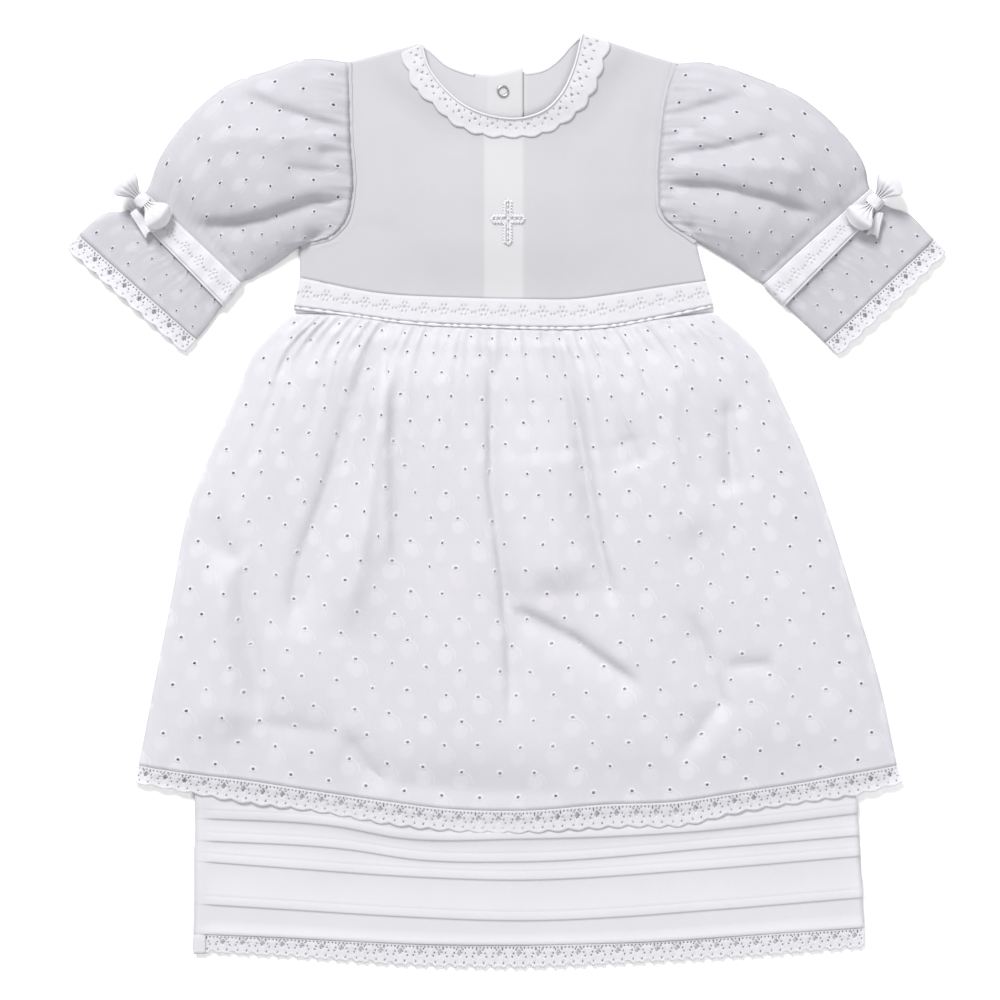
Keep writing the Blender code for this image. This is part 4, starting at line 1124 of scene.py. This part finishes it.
def bow(side):
    """A ribbon ring pinched in its middle: along d it is 3 mm to either side of its line
    at the knot and 9.5 mm at the tips; its upper layer stands up in two puffs. The width
    that the pinch takes up stands in four pleats a side, deepest at the knot."""
    knot, way, reach, tail = BOWS[side]
    low = 1000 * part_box(f"bow_{side}_knot")[0][2]
    knot, way = np.array(knot), np.array(way) / np.linalg.norm(way)
    across = np.array((-way[1], way[0]))
    turns = np.linspace(0, 1, 97)[:-1]
    rows = np.linspace(-1, 1, 49)
    q = np.where(turns < 0.5, 4 * turns - 1, 3 - 4 * turns)
    upper = turns < 0.5
    half = (2.6 + 6.9 * ramp(np.abs(q) * reach, 4.0, 17)) * (1 - 0.25 * ramp(np.abs(q), 0.8, 1.0))
    crown = 7.0 * ramp(np.abs(q), 0.16, 0.6) * (1 - 0.72 * ramp(np.abs(q), 0.72, 1.0))
    points = []
    for w in rows:
        pucker = np.sin(4 * math.pi * w) * np.exp(-((np.abs(q) * reach - 3) / 6.5) ** 2)
        sag = crown * (1 - 0.25 * w * w)
        z = low + LEVEL + np.where(upper, 2.2 + sag + 1.3 * pucker, 0.6 + 0.9 * pucker)
        tip = 2.4 * np.abs(q) * np.cos(math.pi * w / 2)
        xy = (knot + (q * (reach - 2.4) + np.sign(q) * tip)[:, None] * way
              + (w * half)[:, None] * across)
        points.append(np.column_stack((xy, z)))
    uv = np.stack(np.meshgrid(turns * 90, rows * 9), axis=-1)
    loops = grid_piece(f"bow_{side}_loops_ribbon", np.array(points), SATIN, uv, 0.25, None, True)
    stand_in(outward(loops), f"bow_{side}_loops")
    others = [bow_knot(side, knot, way, across, low), bow_tail(side, tail, low)]


def bow_knot(side, knot, way, across, low):
    """A strip round the pinch: an ellipse 9 mm by 5 mm, swelling a little in the middle,
    with two lengthwise creases."""
    turns = np.linspace(0, 2 * math.pi, 49)[:-1]
    points = []
    for d in np.linspace(-3.6, 3.6, 13):
        swell = 1 - 0.10 * (d / 3.6) ** 2
        crease = 1 + 0.035 * np.cos(3 * turns + d)
        w = 4.7 * np.cos(turns) * swell * crease
        z = low + 2.6 + 2.55 * np.sin(turns) * swell * crease
        xy = knot + d * way + w[:, None] * across
        points.append(np.column_stack((xy, z)))
    piece = grid_piece(f"bow_{side}_knot_ribbon", np.array(points), SATIN, None, 0.3, None, True)
    return stand_in(outward(piece), f"bow_{side}_knot")


def bow_tail(side, tail, low):
    """A narrow end of the ribbon, folded along its middle."""
    a, b = np.array(tail, float)
    way = (b - a) / np.linalg.norm(b - a)
    f, g = np.meshgrid(np.linspace(0, 1, 25), np.linspace(-1, 1, 9), indexing="ij")
    notch = np.where(f > 0.95, 2.0 - 2.2 * f * np.abs(g), 0)
    xy = (a + (b - a) * f[..., None] + (g * (2.4 + 1.5 * f))[..., None] * (-way[1], way[0])
          - notch[..., None] * way)
    z = low + 0.5 + 0.6 * np.exp(-(g / 0.35) ** 2) + 0.25 * np.sin(3 * math.pi * f)
    piece = grid_piece(f"bow_{side}_tail_ribbon", np.concatenate((xy, z[..., None]), axis=-1), SATIN,
                       np.stack((f * 20, g * 4), axis=-1), 0.25)
    return stand_in(piece, f"bow_{side}_tail")


# ---------------------------------------------------------------- cross and snap
def stitches(name, centres, ways, long, thick, height):
    """Short fat threads: each an ellipsoid cap of 5 by 6 points, long in its own way."""
    a, b = np.meshgrid(np.linspace(0, math.pi / 2, 4), np.linspace(0, 2 * math.pi, 9)[:-1],
                       indexing="ij")
    along, side = np.cos(b) * np.sin(a), np.sin(b) * np.sin(a)
    centres, ways = np.asarray(centres, float), np.asarray(ways, float)
    square = np.column_stack((-ways[:, 1], ways[:, 0]))
    xy = (centres[:, None, None, :2] + along[None, ..., None] * ways[:, None, None] * long
          + side[None, ..., None] * square[:, None, None] * thick)
    z = centres[:, None, None, 2] + np.cos(a)[None] * height
    points = np.concatenate((xy, z[..., None]), axis=-1).reshape(-1, 3)
    one = grid_quads(4, 8, wrap=True)
    quads = (one[None] + (np.arange(len(centres)) * 32)[:, None, None]).reshape(-1, 4)
    return mesh_piece(name, points, quads, THREAD)


def cross():
    """Satin-stitched latin cross: rows of slanting stitches over a padded ground, with a
    line of small picots round it."""
    low, high = (np.array(corner) * 1000 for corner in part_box("cross"))
    centre = (low + high) / 2
    base = low[2]
    outline = np.array(((-1.6, -14.8), (1.6, -14.8), (1.6, -1.5), (9.8, -1.5), (9.8, 1.7),
                        (1.6, 1.7), (1.6, 11.4), (-1.6, 11.4), (-1.6, 1.7), (-9.8, 1.7),
                        (-9.8, -1.5), (-1.6, -1.5), (-1.6, -14.8)))
    spots, ways, rim = [], [], []
    for a, b in zip(outline[:-1], outline[1:]):
        way = (b - a) / np.linalg.norm(b - a)
        slant = way * 0.75 + np.array((-way[1], way[0])) * 0.66
        count = max(3, round(np.linalg.norm(b - a) / 0.95))
        for k in range(count):
            spot = a + (b - a) * (k + 0.5) / count + centre[:2]
            spots.append((*spot, base + 0.3))
            ways.append(slant)
            if k % 2:
                rim.append((*(spot + 0.9 * np.array((way[1], -way[0]))), base + 0.15))
    for x, y in ((0, -12), (0, -8.6), (0, -5.2), (-7.4, 0.1), (-4.2, 0.1), (4.2, 0.1), (7.4, 0.1),
                 (0, 5.4), (0, 8.8), (0, 0.1)):
        for turn in (0.8, -0.8):
            spots.append((centre[0] + x, centre[1] + y, base + 0.3))
            ways.append((math.cos(turn), math.sin(turn)))
    long = stitches("cross_stitches", spots, ways, 0.8, 0.36, 0.5)
    picots = stitches("cross_picots", rim, [(1.0, 0.0)] * len(rim), 0.55, 0.5, 0.45)
    stand_in(long, "cross")


def snaps():
    """An open press-stud ring: a round-edged rim with cloth showing inside it."""
    turn = np.linspace(0, math.pi, 9)
    profile = np.column_stack((3.2 + 0.55 * np.cos(turn), 0.1 + 0.75 * np.sin(turn)))
    for name, sign in (("snap_ring_inside", 1), ("snap_ring_outside", -1)):
        low, high = (np.array(corner) * 1000 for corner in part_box(name))
        centre = (low + high) / 2
        turn = np.linspace(0, 2 * math.pi, 49)[:-1]
        base = low[2] if sign > 0 else high[2]
        x = centre[0] + profile[:, :1] * np.cos(turn)
        y = centre[1] + profile[:, :1] * np.sin(turn)
        z = base + sign * profile[:, 1:] * 0.95 + 0 * x
        piece = grid_piece(f"{name}_stud", np.stack((x, y, z), axis=-1), NICKEL, None, 0.15, sign > 0,
                           True)
        stand_in(piece, name)


# ---------------------------------------------------------------- light, floor, camera
def studio():
    floor = bpy.data.meshes.new("floor")
    half, z = 3.0, -0.0004
    floor.from_pydata([(-half, -half, z), (half, -half, z), (half, half, z), (-half, half, z)], [],
                      [(0, 1, 2, 3)])
    ground = bpy.data.objects.new("floor", floor)
    bpy.context.collection.objects.link(ground)
    paper = bpy.data.materials.new("white_paper")
    paper.use_nodes = True
    shader = paper.node_tree.nodes["Principled BSDF"]
    shader.inputs["Base Color"].default_value = linear("#FCFCFC")
    shader.inputs["Roughness"].default_value = 0.9
    floor.materials.append(paper)
    world = bpy.data.worlds.new("studio")
    bpy.context.scene.world = world
    world.use_nodes = True
    sky = world.node_tree.nodes["Background"]
    sky.inputs["Color"].default_value = linear("#FFFFFF")
    sky.inputs["Strength"].default_value = 0.55
    for name, spot, size, power in (("key", (-1.1, 2.6, 2.3), 1.1, 150),
                                    ("fill", (1.9, -1.3, 3.0), 2.0, 52)):
        light = bpy.data.lights.new(name, "AREA")
        light.size, light.energy = size, power
        lamp = bpy.data.objects.new(name, light)
        lamp.location = spot
        lamp.rotation_euler = (math.acos(spot[2] / math.dist(spot, (0, 0, 0))), 0,
                               math.atan2(spot[0], -spot[1]))
        bpy.context.collection.objects.link(lamp)
    camera = bpy.data.objects.new("camera", bpy.data.cameras.new("camera"))
    camera.data.sensor_width = 36.0
    camera.data.lens = 36.0 * 1.5 / 0.63
    camera.location = (-0.00315, 0.0, 1.5)
    bpy.context.collection.objects.link(camera)
    bpy.context.scene.camera = camera
    bpy.context.scene.view_settings.view_transform = "Standard"


skirts()
bodice()
waist()
sleeves()
cross()
snaps()
studio()
